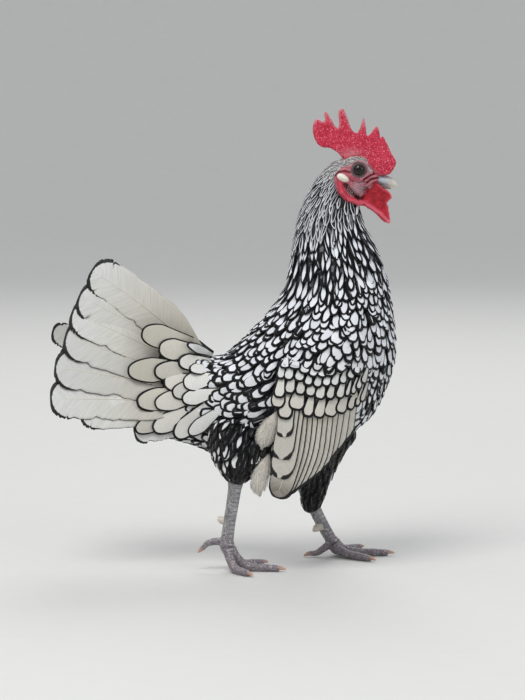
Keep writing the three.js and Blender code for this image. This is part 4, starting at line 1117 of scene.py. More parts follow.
face = {
    "coatDepth": 1.3, "lobeAt": (84.6, 12.7, 278.8), "lobe": (4.0, 2.4, 2.2), "lobeTurn": 0.48,
    "swells": [  # brow, cheek and lore: place, radii, turn, how softly it joins
        ((95, 8.6, 290.2), (7.5, 4.4, 3.2), 0.1, 2), ((92, 9.4, 271), (7, 3.6, 6.4), 0, 2.5),
        ((104.6, 5.8, 279.4), (4.2, 2.6, 2.6), 0.3, 1.5),
    ],
    "orbit": ((96, 15.6, 284.3), (6.6, 3.2, 6.0), 1.6),  # hollow round the eye: place, radii, softness
    "opening": 3.35,  # radius between the lids
    "wattle": (5.4, 0.16, 1.45),  # how far out at 270 high, how much farther lower down, half thickness
    "comb": (5.2, 1.7, 1.4),  # half thickness at its root and top, and the swelling over the beak
    "lidRings": [(3.9, 12.6, 0.7), (5.0, 12.25, 0.55), (6.15, 11.7, 0.55)],  # radius, place out, fold
    "foldPath": [(82.2, 12.2, 275.2), (83.8, 12.0, 268.8), (88.6, 10.6, 263.8), (94.8, 8.8, 261.2),
                 (99.8, 7.8, 260.6), (105.2, 8.2, 257.6), (111.5, 9.2, 253), (117.2, 10.0, 247.6)],
    "foldRadii": [1.5, 2.1, 2.3, 2.2, 2.0, 1.7, 1.6, 1.2],
    "wrinkles": [  # (x, z) path over the face, half width, height; negative ones are furrows
        ([(97.5, 277.6), (101.8, 280.6), (105.4, 283.4)], 0.9, 0.9),
        ([(100.6, 276.8), (104, 279.2), (108.9, 279.9)], 0.9, 0.8),
        ([(102.4, 273.6), (105.6, 276), (109.4, 277.3)], 0.9, 0.7),
        ([(99.2, 277.4), (103, 279.4), (107, 281.4)], 0.6, -0.7),
        ([(101.6, 275.2), (104.6, 277.6), (109, 278.6)], 0.6, -0.7),
        ([(78.4, 279.8), (81.3, 282.6), (85.2, 283.4), (89.6, 282.4)], 0.7, -0.7),
        ([(77.4, 281.2), (81, 284.2), (85.4, 285.2), (89.4, 284.6)], 0.9, 0.6),
        ([(89.6, 277.6), (92.4, 275.8), (96.4, 275.4), (100, 276)], 0.8, -0.5),
        ([(87.6, 273.3), (90.4, 269.6), (94.8, 264.8)], 1.5, -1.3),
        ([(101.2, 270.6), (102, 267), (102.6, 263.4)], 1.7, -2.0),
        ([(91.4, 290.2), (95.6, 291.4), (100.4, 290)], 0.9, 0.5),
    ],
}
facePatch = [  # bare skin inside, coat outside: (x, z)
    (79.0, 277.2), (79.2, 281.6), (83.2, 285.2), (88.6, 287.4), (91.4, 289.6), (96.6, 291.2),
    (101.6, 289.6), (107.5, 285.5), (128, 286), (128, 236), (107, 251), (105.3, 257), (94.6, 258.6),
    (86.1, 262.4), (80.4, 269.6),
]
headStep = 0.4
headLow = np.array([58.0, -19.0, 234.0])
headCount = np.array([172, 96, 242])


def skullField(xs, ys, zs):
    rows = splineRows(headRings, np.linspace(0, 1, 160))
    places = (rows[:, 0] + rows[:, 2]) / 2
    read = lambda column: np.interp(xs, places, column)
    middle, tall = read((rows[:, 1] + rows[:, 3]) / 2), read((rows[:, 1] - rows[:, 3]) / 2).clip(0.3)
    rise = zs - middle
    wide = (read(rows[:, 4]) * (1 - read(rows[:, 5]) * np.clip(rise / tall, -1, 1))).clip(0.3)
    k = np.sqrt((rise / tall) ** 2 + (ys / wide) ** 2).clip(0.05)
    inner = np.sqrt(rise**2 + ys**2) * (1 - 1 / k)
    beyond = np.maximum(np.maximum(66 - xs, xs - 112), 0)
    return np.where(beyond > 0, np.sqrt(np.maximum(inner, 0) ** 2 + beyond**2), inner)


def headField():
    axes = [(headLow[k] + headStep * np.arange(headCount[k])).astype(np.float32) for k in range(3)]
    xs, ys, zs = axes[0][:, None, None], np.abs(axes[1])[None, :, None], axes[2][None, None, :]
    inPlan = lambda outline, fine=4: outlineField(outline, xs[:, :, 0], zs[0], fine)[:, None, :]
    neck = tubeField(xs, ys, zs, [(84, 0, 272), (80, 0, 255), (77, 0, 232)], [11, 14.5, 20])
    field = smoothUnion(skullField(xs, ys, zs), neck, 4)
    field = field + face["coatDepth"] * smoothStep(-0.6, 1.8, inPlan(facePatch, 1))
    for at, radii, turn, soft in face["swells"]:
        field = smoothUnion(field, egg(xs, ys, zs, at, radii, turn), soft)
    at, radii, soft = face["orbit"]
    field = smoothCut(field, egg(xs, ys, zs, at, radii), soft)
    x, y, z = xs - eyeBall["x"], ys - eyeBall["y"], zs - eyeBall["z"]
    for radius, out, fold in face["lidRings"]:
        ring = np.sqrt((np.sqrt(x**2 + (z * 1.06) ** 2) - radius) ** 2 + (ys - out) ** 2) - fold
        field = smoothUnion(field, ring, 0.5)
    opening = np.maximum(np.sqrt(x**2 + (z * 1.08) ** 2) - face["opening"], 9 - ys)
    field = smoothCut(field, np.minimum(opening, 9), 0.35)
    ball = np.sqrt(x**2 + y**2 + z**2) - eyeBall["radius"]
    field = np.maximum(field, -np.maximum(ball - 0.02, 10.0 - ys))
    outer = smoothStep(3, 6, ys)
    for path, wide, high in face["wrinkles"]:
        flat = [(x, 0, z) for x, z in path]
        gone = tubeField(xs[..., :1], np.zeros((1, 1, 1)), zs, flat, [0.01])[:, 0]
        field = field - high * outer * np.exp(-(gone / wide) ** 2)[:, None, :].astype(np.float32)
    field = smoothUnion(field, tubeField(xs, ys, zs, face["foldPath"], face["foldRadii"]), 0.9)
    lobe = egg(xs, ys, zs, face["lobeAt"], face["lobe"], face["lobeTurn"])
    out, slope, half = face["wattle"]
    wattle = slab(inPlan(wattleOutline), ys - (out + slope * (270 - zs).clip(-6)), half, 1.2)
    root, top, swell = face["comb"]
    height = np.clip((zs - 290) / 36, 0, 1) ** 0.75
    half = root + (top - root) * height + swell * np.exp(-((xs - 116) / 6) ** 2 - ((zs - 288) / 7) ** 2)
    comb = slab(inPlan(combOutline), ys, half, 1.5)
    for part, soft in ((lobe, 0.5), (wattle, 0.8), (comb, 1.2)):
        field = smoothUnion(field, part, soft)
    return field, comb, wattle, lobe


def fieldMesh(field, low, step):
    grid = openvdb.FloatGrid(30.0)
    grid.copyFromArray(np.ascontiguousarray(field, np.float32))
    points, quads = grid.convertToQuads(0.0)
    points, quads = points * step + low, quads[:, ::-1].astype(np.int64)
    a, c = points[quads[:, 0]], points[quads[:, 2]]
    volume = (np.cross(a, points[quads[:, 1]]) * c).sum() + (np.cross(a, c) * points[quads[:, 3]]).sum()
    return points, quads if volume > 0 else quads[:, ::-1]


def blurred(field, cells):
    # a box blur along each axis in turn
    for axis in range(3):
        size = field.shape[axis]
        total = np.cumsum(field, axis, dtype=np.float64)
        high = np.minimum(np.arange(size) + cells, size - 1)
        low = np.maximum(np.arange(size) - cells - 1, 0)
        shape = [1, 1, 1]
        shape[axis] = size
        field = ((np.take(total, high, axis) - np.take(total, low, axis))
                 / (high - low).reshape(shape)).astype(np.float32)
    return field


def readField(field, points, low, step):
    place = np.clip((points - low) / step, 0, np.array(field.shape) - 1.001)
    base = place.astype(int)
    f = place - base
    total = 0
    for corner in np.ndindex(2, 2, 2):
        x, y, z = (f[:, k] if corner[k] else 1 - f[:, k] for k in range(3))
        total = total + x * y * z * field[tuple((base + corner).T)]
    return total


def pointNormals(points, quads):
    across = np.cross(points[quads[:, 2]] - points[quads[:, 0]], points[quads[:, 3]] - points[quads[:, 1]])
    normals = np.zeros_like(points)
    for k in range(4):
        np.add.at(normals, quads[:, k], across)
    return unit(normals)


def warts(points, size, seed):
    # height of small rounded grains, 0 to 1
    grain = np.empty(len(points))
    for i, point in enumerate(points):
        far = noise.voronoi(Vector(point / size + seed))[0]
        grain[i] = far[1] - far[0]
    return np.clip(grain * 1.6, 0, 1)


def headSkin():
    field, comb, wattle, lobe = headField()
    points, quads = fieldMesh(field, headLow, headStep)
    normals = pointNormals(points, quads)
    x, y, z = points[:, 0], np.abs(points[:, 1]), points[:, 2]
    read = lambda other: readField(other, points, headLow, headStep)
    nearLine = lambda line, far, near: smoothStep(far, near, tubeField(x, 0 * y, z, line, [0.2]))
    # how far each point lies in a hollow (above 0) or on a ridge (below 0), for painted shade and painted
    # highlight
    cavity = -read(blurred(field, 3))
    onComb = smoothStep(1.0, -0.2, read(comb)) * smoothStep(-3, 1.5, z - (290 - 0.55 * (x - 98).clip(0)))
    onWattle = smoothStep(0.8, -0.1, read(wattle))
    onLobe = smoothStep(0.6, 0.1, read(lobe))
    onFold = smoothStep(0.9, 0.1, tubeField(x, y, z, face["foldPath"], face["foldRadii"]))
    away = np.hypot(x - eyeBall["x"], (z - eyeBall["z"]) * 1.06)
    onLid = smoothStep(6.6, 5.6, away) * (y > 9)
    plain = (1 - onComb) * (1 - onWattle) * (1 - onLobe) * (1 - onLid)
    bristle = np.exp(-(((x - 96.5) / 7) ** 2 + ((z - 271) / 6) ** 2)) * plain
    brow = np.exp(-((away - 8.4) / 2.1) ** 2) * smoothStep(283, 288, z + 0.35 * (x - 96)) * plain
    # painted shade down the groove in front of the fold and down the hollow behind the wattle
    furrow = nearLine([(86, 0, 274), (90, 0, 269), (95, 0, 265)], 2.4, 0.4) * (1 - onFold)
    paintedHollowShade = nearLine([(101.2, 0, 270), (102, 0, 267), (102.8, 0, 263.6)], 3.0, 1.0) * (1 - 0.5 * onWattle)
    coated = smoothStep(0.0, 1.2, outlineField(facePatch, x, z, 1))
    coated = coated * (1 - onComb) * (1 - onWattle) * (1 - onFold)
    tips = smoothStep(-2.2, -0.2, outlineField(combOutline, x, z)) * smoothStep(308, 320, z)
    root = 0.8 * np.exp(-(((x - 90) / 8) ** 2 + ((z - 295.5) / 3.4) ** 2))
    # grains on comb and wattles, finer ones on the face, and a soft roll under the wattles' grains
    grain, fine = warts(points, 1.25, 7.0), warts(points, 0.9, 31.0)
    roll = warts(points * (1, 0.6, 1), 2.6, 11.0) - 0.5
    bumpy = onComb + 0.45 * onWattle * (1 - onFold)
    push = bumpy * (0.5 * grain + 0.15 * fine - 0.3) + plain * (0.28 * fine - 0.14)
    push = push + 0.35 * roll * np.clip(onWattle + onFold, 0, 1)
    values = {"comb": onComb, "wattle": onWattle, "lobe": onLobe, "lid": onLid, "bristle": bristle,
              "brow": brow, "furrow": np.clip(furrow + paintedHollowShade, 0, 1), "fold": onFold, "coated": coated,
              "grain": grain, "cavity": cavity, "bloom": np.clip((tips + root) * (0.35 + grain), 0, 1),
              "fromEye": away}
    return points + normals * push[:, None], quads, values


def makeFleshSkin(name):
    # Bare skin of face, comb and wattles: blood shows red through it; painted pale glints sit on its horny
    # grains, painted shade darkens its hollows, grooves and pits, and painted highlight lightens its ridges
    material, tree, read = newMaterial(
        name, "cavity grain bloom fromEye bristle brow lid coated furrow wattle fold comb lobe",
        Roughness=0.52, IOR=1.4, Specular_IOR_Level=0.45, Subsurface_Weight=0.12, Subsurface_Scale=0.002,
        Subsurface_Radius=(1.0, 0.35, 0.2))
    place = addNode(tree, "TexCoord", out="Object")
    blotch = addNode(tree, "TexNoise", {"Vector": place, "Scale": 1 / (4.0 * mm), "Detail": 3.0})
    speck = addNode(tree, "TexVoronoi", {"Vector": place, "Scale": 1 / (1.1 * mm)})
    blotchy = addNode(tree, "MapRange", {0: blotch, 1: 0.35, 2: 0.68})
    # painted shade darkens the hollows, painted highlight lightens the ridges of face, wattles and fold
    paintedHollowShade = addNode(tree, "MapRange", {0: read["cavity"], 1: 0.02, 2: 0.32})
    ridgeHighlight = addNode(tree, "MapRange", {0: read["cavity"], 1: -0.06, 2: -0.34})
    # the comb darkens into the pits between its grains as painted shade, lightens to their tops, and takes
    # painted pale glints on the tops
    pitShading = addNode(tree, "MapRange", {0: read["grain"], 1: 0.05, 2: 0.5})
    paintedGlint = addNode(tree, "MapRange", {0: read["grain"], 1: 0.5, 2: 0.95, 4: 0.62})
    bloom = addNode(tree, "Math", {0: read["bloom"], 1: 0.7}, operation="MULTIPLY")
    flush = addNode(tree, "MapRange", {0: read["fromEye"], 1: 11.5, 2: 8.0})
    # lid colour by distance from the eye: darkest at the rims, then lighter rings over the lid folds and darker
    # ones in the creases between, painted light and shade
    lids = addNode(tree, "ValToRGB", {0: addNode(tree, "MapRange", {0: read["fromEye"], 1: 3.2, 2: 7.2})})
    stops = [(0.0, "#0b0809"), (0.14, "#1d1418"), (0.24, "#54454a"), (0.36, "#2f2427"), (0.48, "#745f64"),
             (0.6, "#3d2f33"), (0.74, "#8d7074"), (1.0, "#a5686f")]
    ramp = lids.node.color_ramp.elements
    while len(ramp) < len(stops):
        ramp.new(0.5)
    for element, (stop, colour) in zip(ramp, stops):
        element.position, element.color = stop, linear(colour)
    tissues = [  # where, its colour, and what lies over that as (share, colour), from the deepest up
        (read["bristle"], "#95626e", [(blotchy, "#bb9ca3")]),
        (read["brow"], "#cdc2c5", [(blotchy, "#e9e3e3")]), (paintedHollowShade, "#5d1220", []), (ridgeHighlight, "#b9737b", []),
        (read["lid"], lids, []), (read["coated"], "#8d8688", []), (read["furrow"], "#4a0d18", []),
        (read["wattle"], "#8f0a1a", [(blotchy, "#b8182b"), (ridgeHighlight, "#d8485a")]),
        (read["fold"], "#b3233a", [(blotchy, "#c63a50"), (ridgeHighlight, "#df7a86")]),
        (read["comb"], "#a61831", [(pitShading, "#d83251"), (paintedGlint, "#f0a2ae"), (bloom, "#d9a3aa")]),
        (read["lobe"], "#f1eee2", [(blotchy, "#e2d8ca"), (flush, "#c99a98")]),
    ]
    flesh = addNode(tree, "Mix", {0: blotchy, 6: "#9c2f42", 7: "#b5616c"}, **rgb)  # blood through thin skin
    for where, colour, overs in tissues:
        for share, over in overs:
            colour = addNode(tree, "Mix", {0: share, 6: colour, 7: over}, **rgb)
        flesh = addNode(tree, "Mix", {0: where, 6: flesh, 7: colour}, **rgb)
    return finishMaterial(material, flesh, speck, 0.35)


fleshSkin = makeFleshSkin("fleshSkin")
headPoints, headQuads, headValues = headSkin()
print("head skin", len(headPoints), "points")

# ---- legs: shanks and toes as one skin each, scaled in front and netted behind
legs = {
    -1: {
        "hock": [(8.8, -30, 70), (8.4, -30, 63)],
        "shank": [(8.4, -30, 63), (6.6, -30, 50.5), (4.2, -30, 35.5), (2.6, -30, 24), (2.4, -30, 17)],
        "shankRadii": [4.8, 4.5, 4.3, 4.5, 4.5],
        "middle": [(4.6, -30, 15.4), (10.5, -30.5, 8), (17, -31.5, 3.2), (27, -33, 2.6), (37, -34.5, 2.4)],
        "inner": [(3.6, -27, 15.4), (8.6, -23.6, 7.8), (14, -19, 3.2), (20.5, -13.5, 2.6), (26, -9, 2.3)],
        "outer": [(2.8, -33.4, 15.4), (5.2, -37.2, 8.2), (8, -41.4, 3.2), (12, -47, 2.6), (16.4, -52.6, 2.3)],
        "hind": [(-1, -28.6, 20.8), (-6, -27.8, 20.6), (-11.4, -27.2, 19.2), (-14.4, -26.8, 16.4)],
        "spur": [(3, -28, 35), (-1.2, -27.4, 36), (-3.9, -27, 36.7)],
    },
    1: {
        "hock": [(59, 30, 50), (61.5, 30, 45)],
        "shank": [(61.5, 30, 45), (66.2, 30, 34), (73.4, 30, 20), (78.2, 30, 11.6), (80.4, 30, 8.2)],
        "shankRadii": [4.9, 4.5, 4.3, 4.3, 4.3],
        "middle": [(82, 30, 7.4), (89, 30, 4.4), (98, 30.4, 2.9), (108, 31, 2.6), (117, 31.6, 2.4)],
        "inner": [(80.6, 26.6, 7.2), (86.4, 22.4, 4.2), (92.6, 17.4, 2.9), (98.6, 12.4, 2.6), (104, 8, 2.3)],
        "outer": [(80.2, 33.4, 7.2), (84.8, 38.6, 4.2), (89.6, 44.6, 2.9), (94.4, 50.6, 2.6), (98.6, 56, 2.3)],
        "hind": [(77, 28.8, 9.4), (72, 27.8, 5.8), (67.6, 27, 3), (63.2, 26.2, 2.6)],
        "spur": [(71.5, 28, 22.8), (67.4, 27.4, 21.4), (64.8, 27, 20.5)],
    },
}
toeLook = {
    "radii": [3.6, 3.2, 3.0, 2.8, 2.3], "hindRadii": [2.9, 2.6, 2.2, 1.7], "shankFlat": 1.22,
    "scute": 2.3, "shankScute": 3.3, "scuteRise": 0.38, "net": 1.5, "netRise": 0.28,
}
toeNames = ("middle", "inner", "outer", "hind")


def limbPlaces(points, path, radii):
    # how far each point is from a limb's skin, how far along the limb, and the way from its axis
    best, along = np.full(len(points), 99.0), np.zeros(len(points))
    out = np.zeros_like(points)
    sizes = np.interp(np.linspace(0, 1, len(path)), np.linspace(0, 1, len(radii)), radii)
    start = 0.0
    for a, b, ra, rb in zip(path[:-1], path[1:], sizes[:-1], sizes[1:]):
        a, run = np.array(a, float), np.array(b, float) - np.array(a, float)
        t = np.clip((points - a) @ run / (run @ run), 0, 1)
        way = points - a - t[:, None] * run
        gone = np.linalg.norm(way, axis=1) - ra - (rb - ra) * t
        closer = gone < best
        best = np.where(closer, gone, best)
        along = np.where(closer, start + t * np.linalg.norm(run), along)
        out = np.where(closer[:, None], unit(way), out)
        start += np.linalg.norm(run)
    return best, along, out


def legSkin(side, step=0.4):
    leg = legs[side]
    skinned = [leg[key] for key in ("hock", "shank", *toeNames)]
    everything = np.concatenate([np.array(path, float) for path in skinned])
    low = everything.min(0) - 8
    low[2] = -2.2
    field = np.full(np.ceil((everything.max(0) + 8 - low) / step).astype(int), 99.0, np.float32)
    limbs = [("shank", leg["shankRadii"])] + [(toe, toeLook["radii"]) for toe in toeNames[:3]]
    limbs.append(("hind", toeLook["hindRadii"]))

    def add(path, radii, soft, flat=1.0):
        path = np.array(path, float)
        reach = max(radii) + soft + 1.5
        first = np.floor((path.min(0) - reach - low) / step).clip(0).astype(int)
        last = np.minimum(np.ceil((path.max(0) + reach - low) / step).astype(int), field.shape)
        xs, ys, zs = (low[k] + step * np.arange(first[k], last[k]) for k in range(3))
        block = tuple(slice(a, b) for a, b in zip(first, last))
        ys = 30 * side + (ys - 30 * side) * flat
        tube = tubeField(xs[:, None, None], ys[None, :, None], zs[None, None, :], path, radii)
        field[block] = smoothUnion(field[block], tube, soft)

    add(leg["hock"], [5.6, 5.2], 1.5, toeLook["shankFlat"])
    for name, radii in limbs:
        path = splineRows(leg[name], np.linspace(0, 1, 13))
        add(path, radii, 1.4, toeLook["shankFlat"] if name == "shank" else 1.0)
    for name in toeNames[:3]:  # pads under the joints
        for share in (0.5, 0.75, 1.0):
            place = splineRows(leg[name], share)
            add([place + (0, 0, -0.5), place + (0.2, 0, -0.5)], [2.9 if share < 1 else 2.5], 0.8)
    ankle = np.array(leg["shank"][-1], float)
    add([ankle + (1.5, 0, -2), ankle + (0, 0, 1)], [4.8, 4.6], 2.0)
    floor = low[2] + step * np.arange(field.shape[2])
    field = np.maximum(field, 0.12 - floor[None, None, :].astype(np.float32))
    points, quads = fieldMesh(field, low, step)
    normals = pointNormals(points, quads)
    # how far each point lies in a crevice, for painted shade there
    cavity = -readField(blurred(field, 2), points, low, step)
    # of the nearest limb: how far along it, how far to its front and side, and how long its scales are
    best = np.full(len(points), 99.0)
    along, front, across, period = (np.zeros(len(points)) for _ in range(4))
    for name, radii in limbs:
        path = splineRows(leg[name], np.linspace(0, 1, 13))
        gone, far, out = limbPlaces(points, path, radii)
        nearer = gone < best
        best = np.where(nearer, gone, best)
        shank = name == "shank"
        forward = np.array([0.97, 0, 0.25]) if shank else np.array([0, 0, 1.0])
        sideways = np.array([0, 1.0, 0]) if shank else unit(np.cross(path[-1] - path[0], [0, 0, 1.0]))
        along = np.where(nearer, far, along)
        front = np.where(nearer, out @ forward, front)
        across = np.where(nearer, out @ sideways, across)
        period = np.where(nearer, toeLook["shankScute"] if shank else toeLook["scute"], period)
    double = period > toeLook["scute"] + 0.1  # two staggered rows down the shank, one along each toe
    phase = (along / period + np.where(double & (across > 0), 0.5, 0)) % 1
    onScute = smoothStep(0.1, 0.45, front)
    parting = np.where(double, np.exp(-(across / 0.1) ** 2), 0)
    gapLine = np.clip(np.exp(-((phase - 1) / 0.1) ** 2) + np.exp(-(phase / 0.06) ** 2) + parting, 0, 1)
    net = warts(points, toeLook["net"], 3.0)
    push = onScute * toeLook["scuteRise"] * (phase * 0.7 - gapLine * 0.8)
    push = push + (1 - onScute) * toeLook["netRise"] * (net - 0.6)
    points = points + normals * push[:, None]
    points[:, 2] = points[:, 2].clip(0.05)
    seam = onScute * gapLine + (1 - onScute) * smoothStep(0.35, 0.05, net)
    flush = smoothStep(40 if side < 0 else 26, 8, points[:, 2])
    rear = smoothStep(-0.5, -0.95, front)
    return points, quads, {"seam": seam, "low": flush, "cavity": cavity, "rear": rear}


def makeLegScale(name):
    # Leg scale: horny plates of slate grey, waxy, with paler worn faces, dark seams, a mauve flush below, and
    # painted shade in the crevices
    material, tree, read = newMaterial(name, "low rear seam cavity", Roughness=0.48, IOR=1.5,
                                       Specular_IOR_Level=0.4)
    place = addNode(tree, "TexCoord", out="Object")
    dust = addNode(tree, "TexNoise", {"Vector": place, "Scale": 1 / (1.6 * mm), "Detail": 4.0})
    cloud = addNode(tree, "TexNoise", {"Vector": place, "Scale": 1 / (9.0 * mm), "Detail": 2.0})
    cloudy = addNode(tree, "MapRange", {0: cloud, 1: 0.35, 2: 0.65})
    dusty = addNode(tree, "MapRange", {0: dust, 1: 0.53, 2: 0.68, 4: 0.8})
    # painted shade in the crevices of toes and scales
    paintedHollowShade = addNode(tree, "MapRange", {0: read["cavity"], 1: 0.05, 2: 0.5})
    low, rear, seam = (addNode(tree, "Math", {0: read[key], 1: share}, operation="MULTIPLY")
                       for key, share in (("low", 0.6), ("rear", 0.55), ("seam", 0.75)))
    scale = "#868589"
    for share, colour in ((cloudy, "#a09e9f"), (low, "#7a666e"), (dusty, "#c6c4bf"), (rear, "#a8a79c"),
                          (seam, "#45434c"), (paintedHollowShade, "#4a4046")):
        scale = addNode(tree, "Mix", {0: share, 6: scale, 7: colour}, **rgb)
    return finishMaterial(material, scale, dust)


legScale = makeLegScale("legScale")
legParts = [legSkin(side) + (2,) for side in (-1, 1)]
print("leg skin", sum(len(part[0]) for part in legParts), "points")


def clawRows(at, heading, drop, length, radius):
    # a claw curving down from the toe's end
    share = np.linspace(0, 1, 7)
    heading = unit(np.array(heading, float))
    rows = []
    for s in share:
        place = np.array(at) + heading * length * s + np.array([0, 0, -drop * s**2])
        size = radius * (1 - s) ** 0.55
        rows.append((*place, size * 0.85, size))
    return rows


# ---- skin
def makeGround(name, dark, pale, cell=7.0, lace=1.7):
    # Skin under the coat, seen only between feathers: matt, with the same dark net round pale middles
    material, tree, _ = newMaterial(name, Roughness=0.8)
    place = addNode(tree, "TexCoord", out="Object")
    net = addNode(tree, "TexVoronoi", {"Vector": place, "Scale": 1 / (cell * mm)}, feature="DISTANCE_TO_EDGE")
    grain = addNode(tree, "TexNoise", {"Vector": place, "Scale": 1 / (1.1 * mm)})
    inside = addNode(tree, "Math", {0: grain, 1: 0.12, 2: net}, operation="MULTIPLY_ADD")
    laced = addNode(tree, "MapRange", {0: inside, 1: lace / cell, 2: lace / cell + 0.08})
    colour = addNode(tree, "Mix", {0: laced, 6: dark, 7: pale}, **rgb)
    return finishMaterial(material, colour, grain, 0.4, 0.3)


ground = makeGround("coatGround", "#0e0e11", "#6d6f74")


def joinParts(parts):
    # parts: points, quads, attribute values, slot
    keys = {key for part in parts for key in part[2]}
    points, quads, slots, values, start = [], [], [], {key: [] for key in keys}, 0
    for partPoints, partQuads, partValues, slot in parts:
        points.append(partPoints)
        quads.append(partQuads + start)
        slots.append(np.full(len(partQuads), slot))
        for key in keys:
            values[key].append(np.asarray(partValues.get(key, np.zeros(len(partPoints))), float))
        start += len(partPoints)
    return (np.concatenate(points), np.concatenate(quads), np.concatenate(slots),
            {key: np.concatenate(value) for key, value in values.items()})


skinParts = [(ringGrid(bodyRings, 96, 120, 2.6), gridFaces(96, 120))]
skinParts += [(limbGrid(thighRows[side], 32, 30, -2.2), gridFaces(32, 30)) for side in (-1, 1)]
skinParts = [(grid.reshape(-1, 3), faces, {}, 0) for grid, faces in skinParts]
skinParts += [(headPoints, headQuads, headValues, 1)] + legParts
skinPoints, skinQuads, skinSlots, skinValues = joinParts(skinParts)
skin = makeMesh("skin", skinPoints, skinQuads, [ground, fleshSkin, legScale], skinSlots, values=skinValues)
print("skin", len(skinPoints), "points")
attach(skin, "root")
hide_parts("trunk", "neck", "tail_base", "tail_right", "tail_left", "thigh_right", "thigh_left",
            "head", "comb", "wattle_right", "wattle_left", "earlobe_right", "earlobe_left",
            "shank_right", "shank_left",
            *(f"toe_{toe}_{word}" for toe in toeNames for word in ("right", "left")))

# ---- head coat
def aroundHead(p):
    # the head's skin unwrapped round its own axis, for the bake map
    turn = (np.arctan2(p[:, 1], p[:, 2] - 272) / (2 * math.pi)) % 1
    return np.stack([turn, (p[:, 0] - headLow[0]) / (headCount[0] * headStep)], -1)


def headFlow(p):
    # from the beak back over the crown, then down the nape and behind the jaw
    turn = np.radians(np.interp(p[:, 0], [66, 74, 84, 92, 104], [232, 235, 243, 235, 190])
                      - 40 * smoothStep(284, 291, p[:, 2]))
    return np.stack([np.cos(turn), 0.12 * np.sign(p[:, 1]), np.sin(turn)], 1)


headForm = formOf(headPoints, headQuads, headFlow, aroundHead)


def isHeadCoat(p, n):
    bare = outlineField(facePatch, p[:, 0], p[:, 2], 1) < 0.4 + 1.1 * (p[:, 2] < 281)
    comb = (outlineField(combOutline, p[:, 0], p[:, 2]) < -0.2) | (p[:, 2] > 297 - 3 * (p[:, 0] < 86))
    above = p[:, 2] > 268 - 0.35 * (p[:, 0] - 70)
    combUnderside = (n[:, 2] < 0.15) & (p[:, 2] > 289) & (np.abs(p[:, 1]) < 6)
    onComb = comb & (np.abs(p[:, 1]) < 5.8)
    return (above & ~bare & ~combUnderside & ~onComb & (p[:, 0] < 106)).astype(float)


headGuides = np.array([
    (100, 291, 1.0, 3.4, 0.6, 1.0, 0.0, 1.0, 0.7), (92, 292, 1.2, 4.2, 0.6, 1.0, 0.0, 1.0, 0.6),
    (84, 290, 1.5, 6.0, 0.62, 1.1, 0.0, 1.0, 0.4), (78, 281, 1.5, 6.5, 0.7, 1.1, 0.0, 1.0, 0.4),
    (81, 269, 1.6, 6.8, 0.72, 1.1, 0.0, 1.0, 0.4), (88, 261, 1.7, 7.0, 0.68, 1.1, 0.0, 1.0, 0.4),
    (72, 284, 2.0, 7.5, 0.55, 1.3, 0.1, 1.0, 0.2), (67, 276, 2.4, 9.5, 0.58, 1.3, 0.12, 1.0, 0.0),
    (77, 262, 2.3, 9.0, 0.6, 1.3, 0.12, 1.0, 0.1),
])
coatOf("headCoat", headForm, isHeadCoat, 121, guides=headGuides, stretch=0.5, wide=0.58, sink=1.4,
       lift=0.95, base=0.15, edged=isEdged)


def isCheek(p, n):
    dot = np.exp(-(((p[:, 0] - 95.5) / 7.5) ** 2 + ((p[:, 2] - 271.5) / 5.5) ** 2))
    away = np.hypot(p[:, 0] - eyeBall["x"], p[:, 2] - eyeBall["z"])
    dot = dot + np.exp(-((away - 8.4) / 1.6) ** 2) * smoothStep(282, 286, p[:, 2] + 0.35 * (p[:, 0] - 96))
    bare = outlineField(facePatch, p[:, 0], p[:, 2], 1) < 0.5
    return (dot > 0.35) * bare * (away > 6.8) * (np.abs(n[:, 1]) > 0.4)


bristleVane = makeFeatherPale("bristleVane", "#d3c2c6", "#c9b2b6", "#b39da2")
bristleGuides = np.array([
    (0, 270, 1.5, 1.9, 0.0, 1.2, 0, 1.0, 0.3), (0, 290, 1.1, 2.2, 0.0, 1.2, 0, 1.0, 0.3),
])
coatOf("faceBristles", headForm, isCheek, 131, guides=bristleGuides, materials=(bristleVane, inkVane),
       stretch=0.8, wide=0.12, sinkShare=0.05, lift=0.25, thick=0.12, featherRows=5, slot="face_skin")

# ---- eyes and beak
def makeEye():
    # Eyeball: wet cornea over a dark brown iris
    material, tree, read = newMaterial("eyeWet", "fromPupil around", Roughness=0.06, IOR=1.38,
                                       Specular_IOR_Level=0.6)
    rays = addNode(tree, "TexNoise", {"W": read["around"], "Scale": 14.0}, noise_dimensions="1D")
    iris = addNode(tree, "Mix", {0: rays, 6: "#120a08", 7: "#38231b"}, **rgb)
    pupil = addNode(tree, "MapRange", {0: read["fromPupil"], 1: 1.9, 2: 2.1})
    inner = addNode(tree, "Mix", {0: pupil, 6: "#050405", 7: iris}, **rgb)
    limbus = addNode(tree, "MapRange", {0: read["fromPupil"], 1: 2.7, 2: 3.4})
    return finishMaterial(material, addNode(tree, "Mix", {0: limbus, 6: inner, 7: "#1c1315"}, **rgb))


eyeWet = makeEye()
polar = np.linspace(0, math.pi, 40)[None, :]
around = turnOf(48)
radius = eyeBall["radius"]
fromPupil, turns = (np.broadcast_to(value, (48, 40)).ravel()
                    for value in (radius * np.sin(polar), np.abs(around - math.pi)))
for side, word in ((-1, "right"), (1, "left")):
    grid = np.stack([eyeBall["x"] + radius * np.sin(polar) * np.cos(around),
                     side * (eyeBall["y"] + radius * np.cos(polar)) + 0 * around,
                     eyeBall["z"] + radius * np.sin(polar) * np.sin(around)], -1)
    eye = makeMesh(f"eyeball{word.capitalize()}", grid.reshape(-1, 3), gridFaces(48, 40)[:, ::-side],
                   [eyeWet], values={"fromPupil": fromPupil, "around": turns})
    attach(eye, "root")
    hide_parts(f"eye_{word}")
print("eyes")


